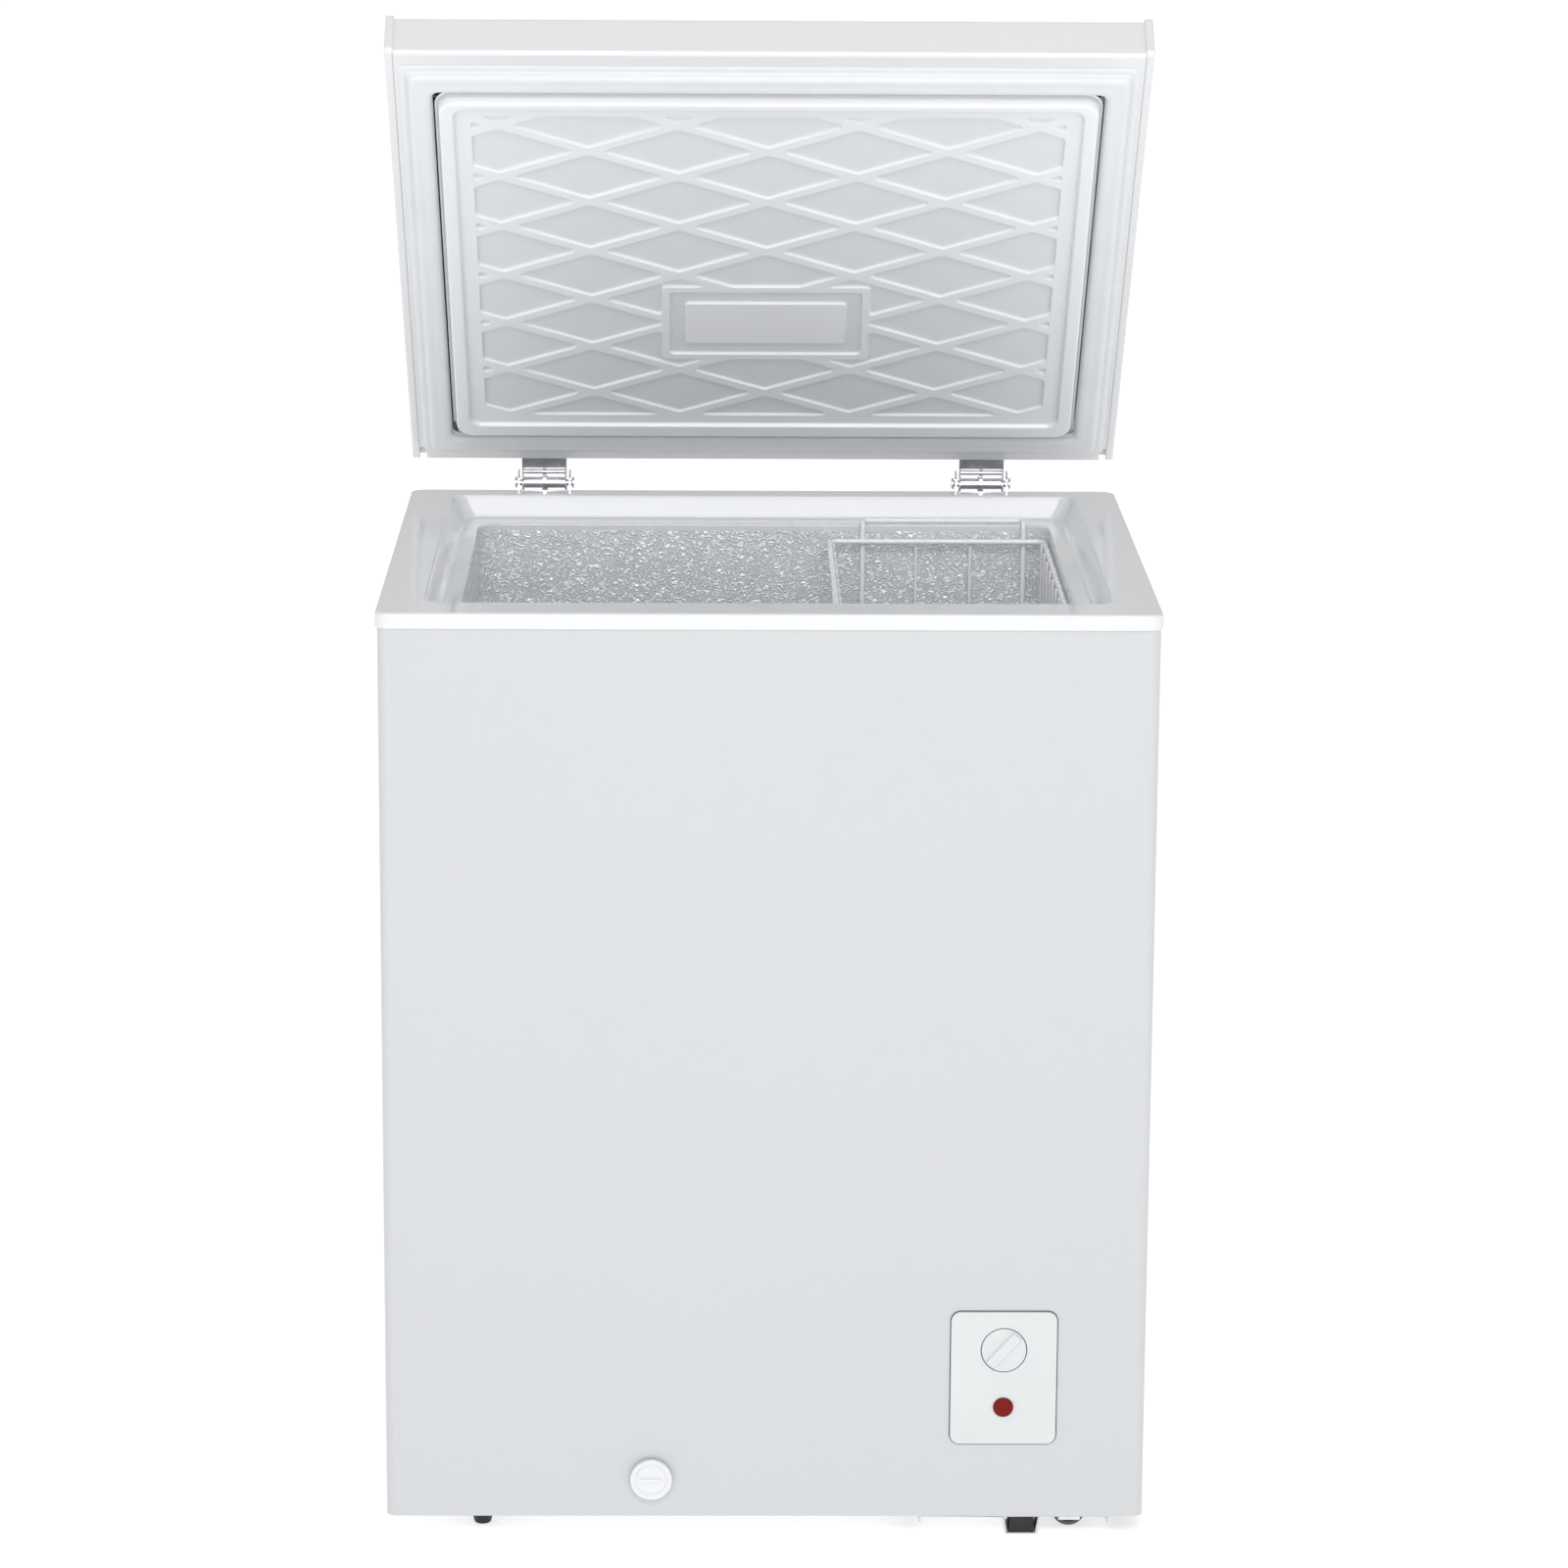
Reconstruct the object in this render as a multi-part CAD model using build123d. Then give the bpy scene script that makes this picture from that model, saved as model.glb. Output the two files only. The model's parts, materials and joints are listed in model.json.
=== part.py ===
"""Chest freezer with its lid standing open: painted steel cabinet, plastic collar, aluminium
tank in foam, spring-balanced hinges, cooling circuit, hanging wire basket, thermostat, drain
and rollers. Every piece is one STEP file in parts/, all in one frame: +Z up, the floor at z = 0."""
from build123d import *
from math import acos, atan2, cos, degrees, pi, radians, sin, sqrt, tan
import os

# ---- driving dimensions, in millimetres -------------------------------------------------------
W, D = 632.0, 540.0             # collar over its skirt
BW, BY = 628.0, 268.0           # cabinet width, and half its depth
SHEET = 0.8                     # painted steel
Z_BODY, Z_RIM = 17.0, 783.0     # lower edge of the cabinet, top of the collar
SKIRT = 13.0                    # outer skirt of the collar
MOUTH = (-277.5, 277.5, -226.0, 243.5)            # opening at the top of the collar
LEDGE = (-268.0, 268.0, -222.0, 239.5)            # outer edge of its ledge
TANK = (-253.0, 253.0, -207.0, 212.0)             # inside of the tank
Z_LEDGE, Z_TANK, Z_FLOOR, TANK_R = 763.0, 757.0, 78.0, 22.0
HUMP_X, HUMP_Z = 72.0, 290.0    # step in the tank over the machine bay
BAY_X, BAY_Z = 118.0, 240.0     # machine bay: left wall and ceiling
LID_ANGLE = 48.6                # the lid as it stands, degrees above closed
PIVOT_Y, PIVOT_Z = 292.0, 785.3
LID_X, LID_Y0, LID_Y1 = 308.0, -268.0, 264.0      # lid frame when closed
LID_Z, LID_TOP = 791.0, 831.0   # its lower face and its top
RING_X, RING_Y0, RING_Y1 = 299.0, -246.0, 250.0   # inside of the lid frame
PLUG_TOP = (-274.0, 274.0, -220.5, 219.5)
PLUG_LOW = (-272.5, 272.5, -219.0, 218.0)
PLUG_Z, STEP, POCKET = 779.0, 4.0, 2.5
FIELD = (-247.0, 247.0, -200.0, 192.0)            # pattern on the inner lid panel
HALF_X, PITCH_Y, RIB = 75.0, 63.4, 7.0
PLATE_Y = 65.5                  # centre of the raised plate in the pattern
HINGE_X = 197.0
TAIL_R, TAIL_A = 12.0, 37.5     # spring lever of the hinge: radius, angle when closed
ROD_DY, ROD_DZ = 10.8, -2.163   # rod's hook from the pivot, as the lid stands
SEAT_Z, WASHER_Z = 733.5, 654.0
PANEL_X, PANEL_Z, PANEL_W, PANEL_H = 196.5, 138.5, 87.5, 115.0
KNOB_Z, LENS_Z, KNOB_R, LENS_R = 163.0, 113.4, 18.5, 8.3
DRAIN_X, DRAIN_Y, DRAIN_Z = -94.4, -120.0, 50.4
BX0, BX1, BY0, BY1 = 58.0, 249.5, -195.0, 200.0   # centre line of the basket's top wire
BASKET_Z, BASKET_LOW = 750.0, 562.0
RIM_R, LEG_R, WIRE_R, GAP = 2.5, 2.2, 1.25, 0.03
COMP_X, COMP_Y = 214.0, 140.0   # compressor
ROLLER_X, ROLLER_R = 254.0, 14.0
FOOT_X = -235.5
EVAP_Z = [330.0 + 60.0 * i for i in range(7)]
COND_Z = [280.0 + 80.0 * i for i in range(6)]

os.makedirs("parts", exist_ok=True)


# ---- helpers ------------------------------------------------------------------------------------
def save(name, shape):
    export_step(shape, f"parts/{name}.step")
    print(f"{name:22s} solids {len(shape.solids()):3d}   {shape.volume / 1000:10.2f} cm3")


def box(x0, x1, y0, y1, z0, z1):
    return Pos((x0 + x1) / 2, (y0 + y1) / 2, (z0 + z1) / 2) * Box(x1 - x0, y1 - y0, z1 - z0)


def grown(rect, d):
    """A rectangle (x0, x1, y0, y1) made larger by d on every side."""
    return rect[0] - d, rect[1] + d, rect[2] - d, rect[3] + d


def sheet(rect, z, r):
    x0, x1, y0, y1 = rect
    return Pos((x0 + x1) / 2, (y0 + y1) / 2, z) * RectangleRounded(x1 - x0, y1 - y0, r)


def slab(rect, z0, z1, r):
    """Upright block with rounded vertical edges."""
    return extrude(sheet(rect, z0, r), z1 - z0, dir=(0, 0, 1))


def taper(low, high, z0, z1, r):
    """Block between two rounded rectangles."""
    return loft([sheet(low, z0, r).face(), sheet(high, z1, r).face()])


def rod(r, start, axis, length):
    """Cylinder from a point along an axis."""
    return extrude(Plane(start, z_dir=axis) * Circle(r), length)


def side_plate(points, x0, x1):
    """Plate cut to a (y, z) outline, between two x values."""
    outline = Polyline(*[(x0, y, z) for y, z in points], close=True)
    return extrude(make_face(outline), x1 - x0, dir=(1, 0, 0))


def towards(a, b):
    d = [q - p for p, q in zip(a, b)]
    n = sqrt(sum(k * k for k in d))
    return [k / n for k in d]


def bent_path(points, bend, closed=False):
    """Straight runs through the points, joined by arcs of one bend radius."""
    n, arcs, edges = len(points), {}, []
    for i in range(n) if closed else range(1, n - 1):
        p = points[i]
        u, v = towards(p, points[i - 1]), towards(p, points[(i + 1) % n])
        half = acos(sum(s * t for s, t in zip(u, v))) / 2
        w = towards((0, 0, 0), [s + t for s, t in zip(u, v)])
        cut, far = bend / tan(half), bend / sin(half) - bend
        arcs[i] = [tuple(q + k * m for q, k in zip(p, d)) for d, m in ((u, cut), (w, far), (v, cut))]
    for i in range(n if closed else n - 1):
        j = (i + 1) % n
        a = arcs[i][2] if i in arcs else tuple(points[i])
        b = arcs[j][0] if j in arcs else tuple(points[j])
        edges.append(Line(a, b))
        if j in arcs:
            edges.append(ThreePointArc(*arcs[j]))
    return Wire(edges)


def tube(points, r, bend, closed=False):
    """Round bar bent through the points."""
    path = bent_path(points, bend, closed)
    return sweep(Plane(path @ 0, z_dir=path % 0) * Circle(r), path=path)


def both_hinges(shape):
    return Compound([Pos(x, 0, 0) * shape for x in (-HINGE_X, HINGE_X)])


def opened(shape):
    """Turn a piece drawn on the closed lid to where the lid stands."""
    return shape.rotate(Axis((0, PIVOT_Y, PIVOT_Z), (1, 0, 0)), -LID_ANGLE)


# ---- cabinet --------------------------------------------------------------------------------------
BODY = (-BW / 2, BW / 2, -BY, BY)


def cabinet_shell():
    wide = (BODY[0], BODY[1], -BY, BY + 30)
    shell = slab(wide, Z_BODY, 778, 8) - slab(grown(wide, -SHEET), 0, 800, 8 - SHEET)
    shell -= box(-400, 400, BY, BY + 60, 0, 900)
    shell -= box(PANEL_X - 40, PANEL_X + 40, -BY - 5, -BY + 5, PANEL_Z - 53, PANEL_Z + 53)
    return shell - rod(11, (DRAIN_X, -BY - 5, DRAIN_Z), (0, 1, 0), 10)


def back_panel():
    panel = box(-313.1, 313.1, BY - SHEET, BY, Z_BODY, 778)
    panel -= box(122, 306, BY - 5, BY + 5, 26, BAY_Z)
    for x, z in cover_screw_spots():
        panel -= rod(2, (x, BY - 3, z), (0, 1, 0), 6)
    for x, z in base_screw_spots():
        panel -= rod(2.2, (x, BY - 3, z), (0, 1, 0), 6)
    return panel


def bottom_panel():
    panel = box(-313.1, BAY_X, -BY + 0.9, BY - 0.9, Z_BODY, Z_BODY + SHEET)
    return panel & slab(grown(BODY, -0.9), 0, 100, 7.1)


def bay_liner():
    """Sheet walls between the machine bay and the foam."""
    wall = box(BAY_X, BAY_X + SHEET, -BY + 0.9, BY - 0.9, Z_BODY + SHEET, BAY_Z)
    wall += box(BAY_X, 313.1, -BY + 0.9, BY - 0.9, BAY_Z - SHEET, BAY_Z)
    wall &= slab(grown(BODY, -0.9), 0, 300, 7.1)
    for x, y, r in ((169, 217, 4.2), (310.2, 240, 2.5), (310.2, 255, 2.5), (125, 228, 1.3),
                    (196.5, -221.5, 1.4)):
        wall -= rod(r, (x, y, BAY_Z - 5), (0, 0, 1), 10)
    return wall


def tank_solid(d):
    """Outside of the tank (d = 1) or its inside (d = 0)."""
    solid = slab(grown(TANK, d), Z_FLOOR - d, Z_TANK + 1 - d, TANK_R + d)
    return solid - box(HUMP_X + d, 400, -300, 300, 0, HUMP_Z - d)


def inner_liner():
    liner = tank_solid(1) - tank_solid(0)
    return liner - rod(9, (DRAIN_X, DRAIN_Y, Z_FLOOR - 5), (0, 0, 1), 10)


def cup(d, top):
    """The collar's mouth: a tapering drop, grown by d."""
    return taper(grown(LEDGE, d), grown(MOUTH, d), Z_LEDGE - d, top, 12)


def collar_frame():
    block = slab((-W / 2, W / 2, -D / 2, D / 2), Z_RIM - SKIRT, Z_RIM, 12)
    block = fillet(block.faces().sort_by(Axis.Z)[-1].edges(), 2.5)
    block -= slab(grown(BODY, 0.05), 700, Z_RIM - 2.5, 8)
    block -= box(-BW / 2 - 0.05, BW / 2 + 0.05, BY - 12, BY + 0.05, 700, Z_RIM - 2.5)
    block += cup(2.5, Z_RIM - 1)
    block += slab(grown(TANK, 2.5), Z_TANK, Z_LEDGE - 2, TANK_R + 2.5)
    block -= cup(0, Z_RIM)
    block -= slab(TANK, Z_TANK - 5, Z_LEDGE + 1, TANK_R)
    mouth = [e for e in block.edges() if abs(e.center().Z - Z_RIM) < 0.01 and e.length > 5
             and abs(e.center().X) < 278.5 and -228 < e.center().Y < 245]
    return fillet(mouth, 1.2)


def insulation():
    """Foam that fills everything between the steel and the tank."""
    foam = slab(grown(BODY, -SHEET), Z_BODY + SHEET, Z_RIM - 2.5, 7.2)
    foam -= cup(2.5, Z_RIM - 1) + slab(grown(TANK, 2.5), Z_TANK, Z_LEDGE - 2, TANK_R + 2.5)
    foam -= tank_solid(1)
    foam -= box(BAY_X, 400, -300, 300, 0, BAY_Z)
    for z in EVAP_Z:
        foam -= slab(grown(TANK, 9.4), z - 4.3, z + 4.3, 16)
    foam -= box(-118, 176, 212, 221.5, 236, EVAP_Z[-1] + 4.3)
    foam -= box(95, 129, 212, 231, 236, EVAP_Z[-1] + 4.3)
    for z in COND_Z:
        ring = slab((-330, 330, -300, 258), z - 2.8, z + 2.8, 30)
        foam -= ring - slab((-307.2, 307.2, -261.2, 240), z - 4, z + 4, 10)
    for x in (-314, 307):
        foam -= box(x, x + 7.2, 236, 259, 236, COND_Z[-1] + 2.8)
    foam -= tube(drain_run(), 9, 18)
    foam -= box(193, 200, -225, -218, 236, 322)
    for x, z in base_screw_spots():
        foam -= rod(2.2, (x, 258, z), (0, 1, 0), 20)
    return foam


def evaporator_coil():
    """Aluminium tube wound round the tank."""
    x0, x1, y0, y1 = grown(TANK, 5)
    points = [(169, y1, 250)]
    for z in EVAP_Z:
        if z == EVAP_Z[0]:
            points += [(169, y1, z), (x0, y1, z)]
        else:
            points += [(-90, y1, z), (x0, y1, z)]
        points += [(x0, y0, z), (x1, y0, z), (x1, y1, z), (101, y1, z)]
    return tube(points, 3.9, 12)


def condenser_coil():
    """Steel tube against the inside of the side and front walls."""
    points, side = [(310.2, 240, 250)], 1
    for z in COND_Z:
        points += [(310.2 * side, 240, z), (310.2 * side, -264.2, z),
                   (-310.2 * side, -264.2, z), (-310.2 * side, 240, z)]
        side = -side
    points = points[:-1] + [(310.2, 255, COND_Z[-1]), (310.2, 255, 250)]
    return tube(points, 2.4, 6.5)


# ---- machine bay -----------------------------------------------------------------------------------
def mount_spots():
    return [(COMP_X + i, COMP_Y + j) for i in (-60, 60) for j in (-45, 45)]


def roller_ys():
    return -240.0, 240.0


def base_tray():
    """Pressed steel tray under the machine bay, with the skid foot at its front."""
    tray = box(128, 286, -266, 262, 15.4, 16.9)
    tray += box(128, 129.5, -266, 262, 10.5, 16) + box(284.5, 286, -266, 262, 10.5, 16)
    foot = side_foot(197.5, 229, 0) - side_foot(199.2, 227.3, 1.5)
    for y in roller_ys():
        tray -= box(238, 270, y - 15.1, y + 15.1, 5, 20)
    for x, y in mount_spots():
        tray -= rod(3.2, (x, y, 5), (0, 0, 1), 20)
    return tray + foot


def side_foot(x0, x1, z0):
    """Block with sloping sides, wide at the tray."""
    low = Pos((x0 + x1) / 2, -251, z0) * Rectangle(x1 - x0 - 5, 30)
    high = Pos((x0 + x1) / 2, -251, 15.4) * Rectangle(x1 - x0, 30)
    return loft([low.face(), high.face()])


def skid_pad():
    return box(203, 223.5, -264.5, -238, 1.6, 15.2)


def compressor():
    at = Pos(COMP_X, COMP_Y, 0)
    low = fillet(extrude(at * Pos(0, 0, 38) * Ellipse(66, 56), 72).faces()
                 .sort_by(Axis.Z)[0].edges(), 14)
    top = fillet(extrude(at * Pos(0, 0, 108) * Ellipse(63, 53), 66).faces()
                 .sort_by(Axis.Z)[-1].edges(), 28)
    body = low + top + extrude(at * Pos(0, 0, 107) * Ellipse(70, 60), 4)
    feet = slab((COMP_X - 72, COMP_X + 72, COMP_Y - 57, COMP_Y + 57), 36.4, 39.4, 12)
    for x, y in mount_spots():
        feet -= rod(3.2, (x, y, 30), (0, 0, 1), 20)
    body += feet
    body += rod(4.2, (COMP_X - 45, COMP_Y, 120), (0, 0, 1), 65)
    body += rod(3.2, (COMP_X + 45, COMP_Y, 120), (0, 0, 1), 65)
    return body + rod(3.2, (COMP_X, COMP_Y + 30, 95), (0, 1, 0), 50)


def compressor_grommets():
    rings = []
    for x, y in mount_spots():
        ring = rod(10, (x, y, 17), (0, 0, 1), 19.3) - rod(3.2, (x, y, 10), (0, 0, 1), 40)
        rings.append(ring - (rod(12, (x, y, 24), (0, 0, 1), 5) - rod(7.5, (x, y, 23), (0, 0, 1), 7)))
    return Compound(rings)


def compressor_bolts():
    bolts = []
    for x, y in mount_spots():
        bolt = rod(3, (x, y, 12), (0, 0, 1), 33)
        bolt += extrude(Pos(x, y, 11.4) * RegularPolygon(5.5, 6), 3.9)
        bolts.append(bolt + extrude(Pos(x, y, 39.6) * RegularPolygon(5.5, 6), 4.5))
    return Compound(bolts)


def relay_cover():
    """Terminal cover on the compressor's flank."""
    cover = box(COMP_X - 26, COMP_X + 26, COMP_Y - 88, COMP_Y - 61, 52, 102)
    return fillet(cover.edges().filter_by(Axis.Z), 4)


def filter_drier():
    body = rod(8, (292, 225, 130), (0, 0, 1), 60)
    body += rod(4, (292, 225, 120), (0, 0, 1), 80)
    return body


def suction_line():
    return tube([(169, 140, 185.1), (169, 140, 212), (169, 217, 212), (169, 217, 249.9)], 3.9, 10)


def discharge_line():
    return tube([(259, 140, 185.1), (259, 140, 205), (310.2, 140, 205), (310.2, 240, 205),
                 (310.2, 240, 249.9)], 2.4, 10)


def liquid_line():
    return tube([(310.2, 255, 249.9), (310.2, 255, 224), (292, 225, 224), (292, 225, 200.1)],
                2.4, 8)


def capillary_tube():
    return tube([(292, 225, 119.9), (292, 225, 100), (125, 228, 100), (125, 228, 690),
                 (101, 228, 690)], 1.2, 6)


def process_tube():
    tail = rod(2.4, (COMP_X, COMP_Y + 80.1, 95), (0, 1, 0), 22)
    return tail + box(COMP_X - 3.2, COMP_X + 3.2, COMP_Y + 100, COMP_Y + 110, 94.2, 95.8)


def cover_screw_spots():
    return [(x, z) for x in (117.0, 309.0) for z in (40.0, 135.0, 230.0)]


def compressor_cover():
    """Louvred rear cover of the machine bay."""
    cover = box(112, 312.5, BY, BY + 1.2, 22, 246)
    slots = [box(cx - 36, cx + 36, BY - 1, BY + 3, z, z + 5)
             for cx in (168, 256) for z in range(60, 226, 12)]
    for slot in slots:
        cover -= slot
    for x, z in cover_screw_spots():
        cover -= rod(2, (x, BY - 3, z), (0, 1, 0), 8)
    return cover - rod(7, (285, BY - 3, 42), (0, 1, 0), 8)


def screw(r_head, r_shank, grip, head=2.0):
    """Pan screw along -y, its head's seat at the origin."""
    pan = rod(r_head, (0, 0, 0), (0, 1, 0), head)
    pan = fillet(pan.faces().sort_by(Axis.Y)[-1].edges(), head * 0.55)
    pan += rod(r_shank, (0, 0.5, 0), (0, -1, 0), grip + 0.5)
    cross = box(-2, 2, head - 0.9, head + 1, -0.4, 0.4) + box(-0.4, 0.4, head - 0.9, head + 1, -2, 2)
    return pan - cross


def cover_screws():
    one = screw(4, 1.9, 2)
    return Compound([Pos(x, BY + 1.2, z) * one for x, z in cover_screw_spots()])


def cord_gland():
    gland = rod(10, (285, BY + 1.2, 42), (0, 1, 0), 3) + rod(6.5, (285, BY - 8, 42), (0, 1, 0), 24)
    return gland - rod(3.6, (285, BY - 20, 42), (0, 1, 0), 60)


# ---- control panel ------------------------------------------------------------------------------------
def on_front(y):
    """Drawing plane on the cabinet's front, looking at it, centred on the panel."""
    return Plane((PANEL_X, y, PANEL_Z), x_dir=(1, 0, 0), z_dir=(0, -1, 0))


def control_panel():
    plate = extrude(on_front(-BY) * RectangleRounded(PANEL_W, PANEL_H, 8), 2)
    plate = fillet(plate.faces().sort_by(Axis.Y)[0].edges(), 0.8)
    plate += box(PANEL_X - 39, PANEL_X + 39, -BY, -BY + 20, PANEL_Z - 52, PANEL_Z + 52)
    plate -= box(PANEL_X - 36, PANEL_X + 36, -BY + 12, -BY + 25, PANEL_Z - 49, PANEL_Z + 49)
    plate -= rod(KNOB_R + 0.7, (PANEL_X, -BY - 5, KNOB_Z), (0, 1, 0), 13)
    plate -= rod(3.6, (PANEL_X, -BY - 5, KNOB_Z), (0, 1, 0), 40)
    return plate - rod(LENS_R, (PANEL_X, -BY - 5, LENS_Z), (0, 1, 0), 40)


def thermostat_body():
    body = box(PANEL_X - 20, PANEL_X + 20, -BY + 12, -BY + 40, KNOB_Z - 20, KNOB_Z + 20)
    return body - rod(3.05, (PANEL_X, -BY, KNOB_Z), (0, 1, 0), 34)


def thermostat_bulb():
    """Sensing tube from the thermostat up to the tank wall."""
    lead = tube([(PANEL_X, -235, KNOB_Z + 20.1), (PANEL_X, -235, 212), (PANEL_X, -221.5, 212),
                 (PANEL_X, -221.5, 262)], 1, 5)
    return lead + rod(2.8, (PANEL_X, -221.5, 262), (0, 0, 1), 56)


def lamp_holder():
    return rod(6.5, (PANEL_X, -BY + 6.1, LENS_Z), (0, 1, 0), 26)


def indicator_lens():
    lens = rod(LENS_R, (PANEL_X, -BY + 6, LENS_Z), (0, -1, 0), 10)
    return fillet(lens.faces().sort_by(Axis.Y)[0].edges(), 1.6)


def control_knob():
    """Round knob with a diagonal grip bar and a flat index side."""
    knob = rod(KNOB_R, (PANEL_X, -BY + 7, KNOB_Z), (0, -1, 0), 9.5)
    knob = fillet(knob.faces().sort_by(Axis.Y)[0].edges(), 1.0)
    face = Plane((PANEL_X, -BY - 2.5, KNOB_Z), x_dir=(cos(radians(48)), 0, sin(radians(48))),
                 z_dir=(0, -1, 0))
    bar = extrude(face * Rectangle(34, 9), 2.2)
    bar = fillet(bar.faces().sort_by(Axis.Y)[0].edges(), 1.0)
    knob += bar & rod(KNOB_R - 0.6, (PANEL_X, -BY, KNOB_Z), (0, -1, 0), 20)
    return knob - rod(3, (PANEL_X, -BY + 20, KNOB_Z), (0, -1, 0), 19)


def thermostat_shaft():
    return rod(3, (PANEL_X, -BY + 1, KNOB_Z), (0, 1, 0), 31)


# ---- drain -----------------------------------------------------------------------------------------------
def drain_run():
    return [(DRAIN_X, DRAIN_Y, Z_FLOOR), (DRAIN_X, DRAIN_Y, DRAIN_Z), (DRAIN_X, -BY, DRAIN_Z)]


def drain_tube():
    pipe = tube(drain_run(), 9, 18)
    pipe += rod(12, (DRAIN_X, -BY - 1, DRAIN_Z), (0, 1, 0), 1)
    bore = [(DRAIN_X, DRAIN_Y, Z_FLOOR + 1), (DRAIN_X, DRAIN_Y, DRAIN_Z), (DRAIN_X, -BY - 3, DRAIN_Z)]
    return pipe - tube(bore, 7.2, 18)


def drain_spout():
    start = (DRAIN_X, -BY - 1.5, DRAIN_Z)
    return rod(6.8, start, (0, 1, 0), 70) - rod(5.2, start, (0, 1, 0), 80)


def drain_cap():
    """Twist cap with a low bar across its face."""
    cap = rod(17.5, (DRAIN_X, -BY - 2.2, DRAIN_Z), (0, -1, 0), 4)
    cap = fillet(cap.faces().sort_by(Axis.Y)[0].edges(), 1.5)
    cap += rod(5.12, (DRAIN_X, -BY - 3, DRAIN_Z), (0, 1, 0), 9)
    ring = rod(13.6, (DRAIN_X, -BY - 5.4, DRAIN_Z), (0, -1, 0), 1.4)
    ring -= rod(12.2, (DRAIN_X, -BY, DRAIN_Z), (0, -1, 0), 10)
    grip = box(DRAIN_X - 9, DRAIN_X + 9, -BY - 7.4, -BY - 6, DRAIN_Z - 1.6, DRAIN_Z + 1.6)
    return cap + ring + grip


def drain_plug():
    plug = rod(13, (DRAIN_X, DRAIN_Y, Z_FLOOR + 0.4), (0, 0, 1), 3.6)
    plug = fillet(plug.faces().sort_by(Axis.Z)[-1].edges(), 1.2)
    return plug + rod(6.8, (DRAIN_X, DRAIN_Y, Z_FLOOR + 1), (0, 0, -1), 9)


# ---- feet and rollers --------------------------------------------------------------------------------
def levelling_feet():
    feet = []
    for y in (-237, 237):
        foot = loft([(Pos(FOOT_X, y, 0) * Circle(6.8)).face(), (Pos(FOOT_X, y, 8) * Circle(8.8)).face()])
        feet.append(foot + rod(8.8, (FOOT_X, y, 8), (0, 0, 1), Z_BODY - 8))
    return Compound(feet)


def roller(y):
    wheel = rod(ROLLER_R, (ROLLER_X, y - 6, ROLLER_R), (0, 1, 0), 12)
    wheel = fillet(wheel.edges(), 1.2)
    for side in (-1, 1):
        wheel -= (rod(10.5, (ROLLER_X, y + side * 4.6, ROLLER_R), (0, side, 0), 3)
                  - rod(5, (ROLLER_X, y, ROLLER_R), (0, side, 0), 9))
    return wheel - rod(2.55, (ROLLER_X, y - 10, ROLLER_R), (0, 1, 0), 20)


def roller_brackets():
    parts = []
    for y in roller_ys():
        for side in (-1, 1):
            a, b, c = (y + side * k for k in (14, 12.5, 24))
            cheek = box(245, 263, min(a, b), max(a, b), 8, 18.4)
            cheek += box(245, 263, min(b, c), max(b, c), 16.9, 18.4)
            parts.append(cheek - rod(2.5, (ROLLER_X, y - 20, ROLLER_R), (0, 1, 0), 40))
    return Compound(parts)


def roller_axles():
    return Compound([rod(2.5, (ROLLER_X, y - 14.6, ROLLER_R), (0, 1, 0), 29.2) for y in roller_ys()])


# ---- hinges ----------------------------------------------------------------------------------------------
def about_pivot(points):
    return [(PIVOT_Y + y, PIVOT_Z + z) for y, z in points]


def pivot_rod(r, dy, dz, half):
    return rod(r, (-half, PIVOT_Y + dy, PIVOT_Z + dz), (1, 0, 0), 2 * half)


def base_screw_spots():
    return [(s * HINGE_X + x, z) for s in (-1, 1) for x in (-12.0, 12.0) for z in (655.0, 750.0)]


def hinge_bases():
    """Bracket on the cabinet's back: plate, two cheeks and the spring's seat."""
    base = box(-23.7, 23.7, BY, BY + 1.5, 640, 768)
    outline = [(268, 640), (296, 655), (307, 690), (307, 735), (304, 785.3), (280, 785.3),
               (273, 768), (268, 768)]
    for x in (-23.7, 22.2):
        cheek = side_plate(outline, x, x + 1.5)
        base += cheek + rod(12, (x, PIVOT_Y, PIVOT_Z), (1, 0, 0), 1.5)
    base += box(-22.2, 22.2, BY + 1.5, 313, SEAT_Z, SEAT_Z + 1.5)
    base -= pivot_rod(3, 0, 0, 30)
    base -= rod(3, (0, PIVOT_Y + ROD_DY, SEAT_Z - 5), (0, 0, 1), 10)
    for x in (-12, 12):
        for z in (655, 750):
            base -= rod(2.2, (x, BY - 3, z), (0, 1, 0), 8)
    return both_hinges(base)


def hinge_base_screws():
    one = screw(4.5, 2.1, 10, 2.4)
    return Compound([Pos(x, BY + 1.5, z) * one for x, z in base_screw_spots()])


def hinge_pins():
    pin = pivot_rod(3, 0, 0, 24.6)
    for x, way in ((-24.6, -1), (24.6, 1)):
        pin += rod(5.2, (x, PIVOT_Y, PIVOT_Z), (way, 0, 0), 2.2)
    return both_hinges(pin)


def tail_spot():
    return TAIL_R * cos(radians(TAIL_A)), TAIL_R * sin(radians(TAIL_A))


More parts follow.
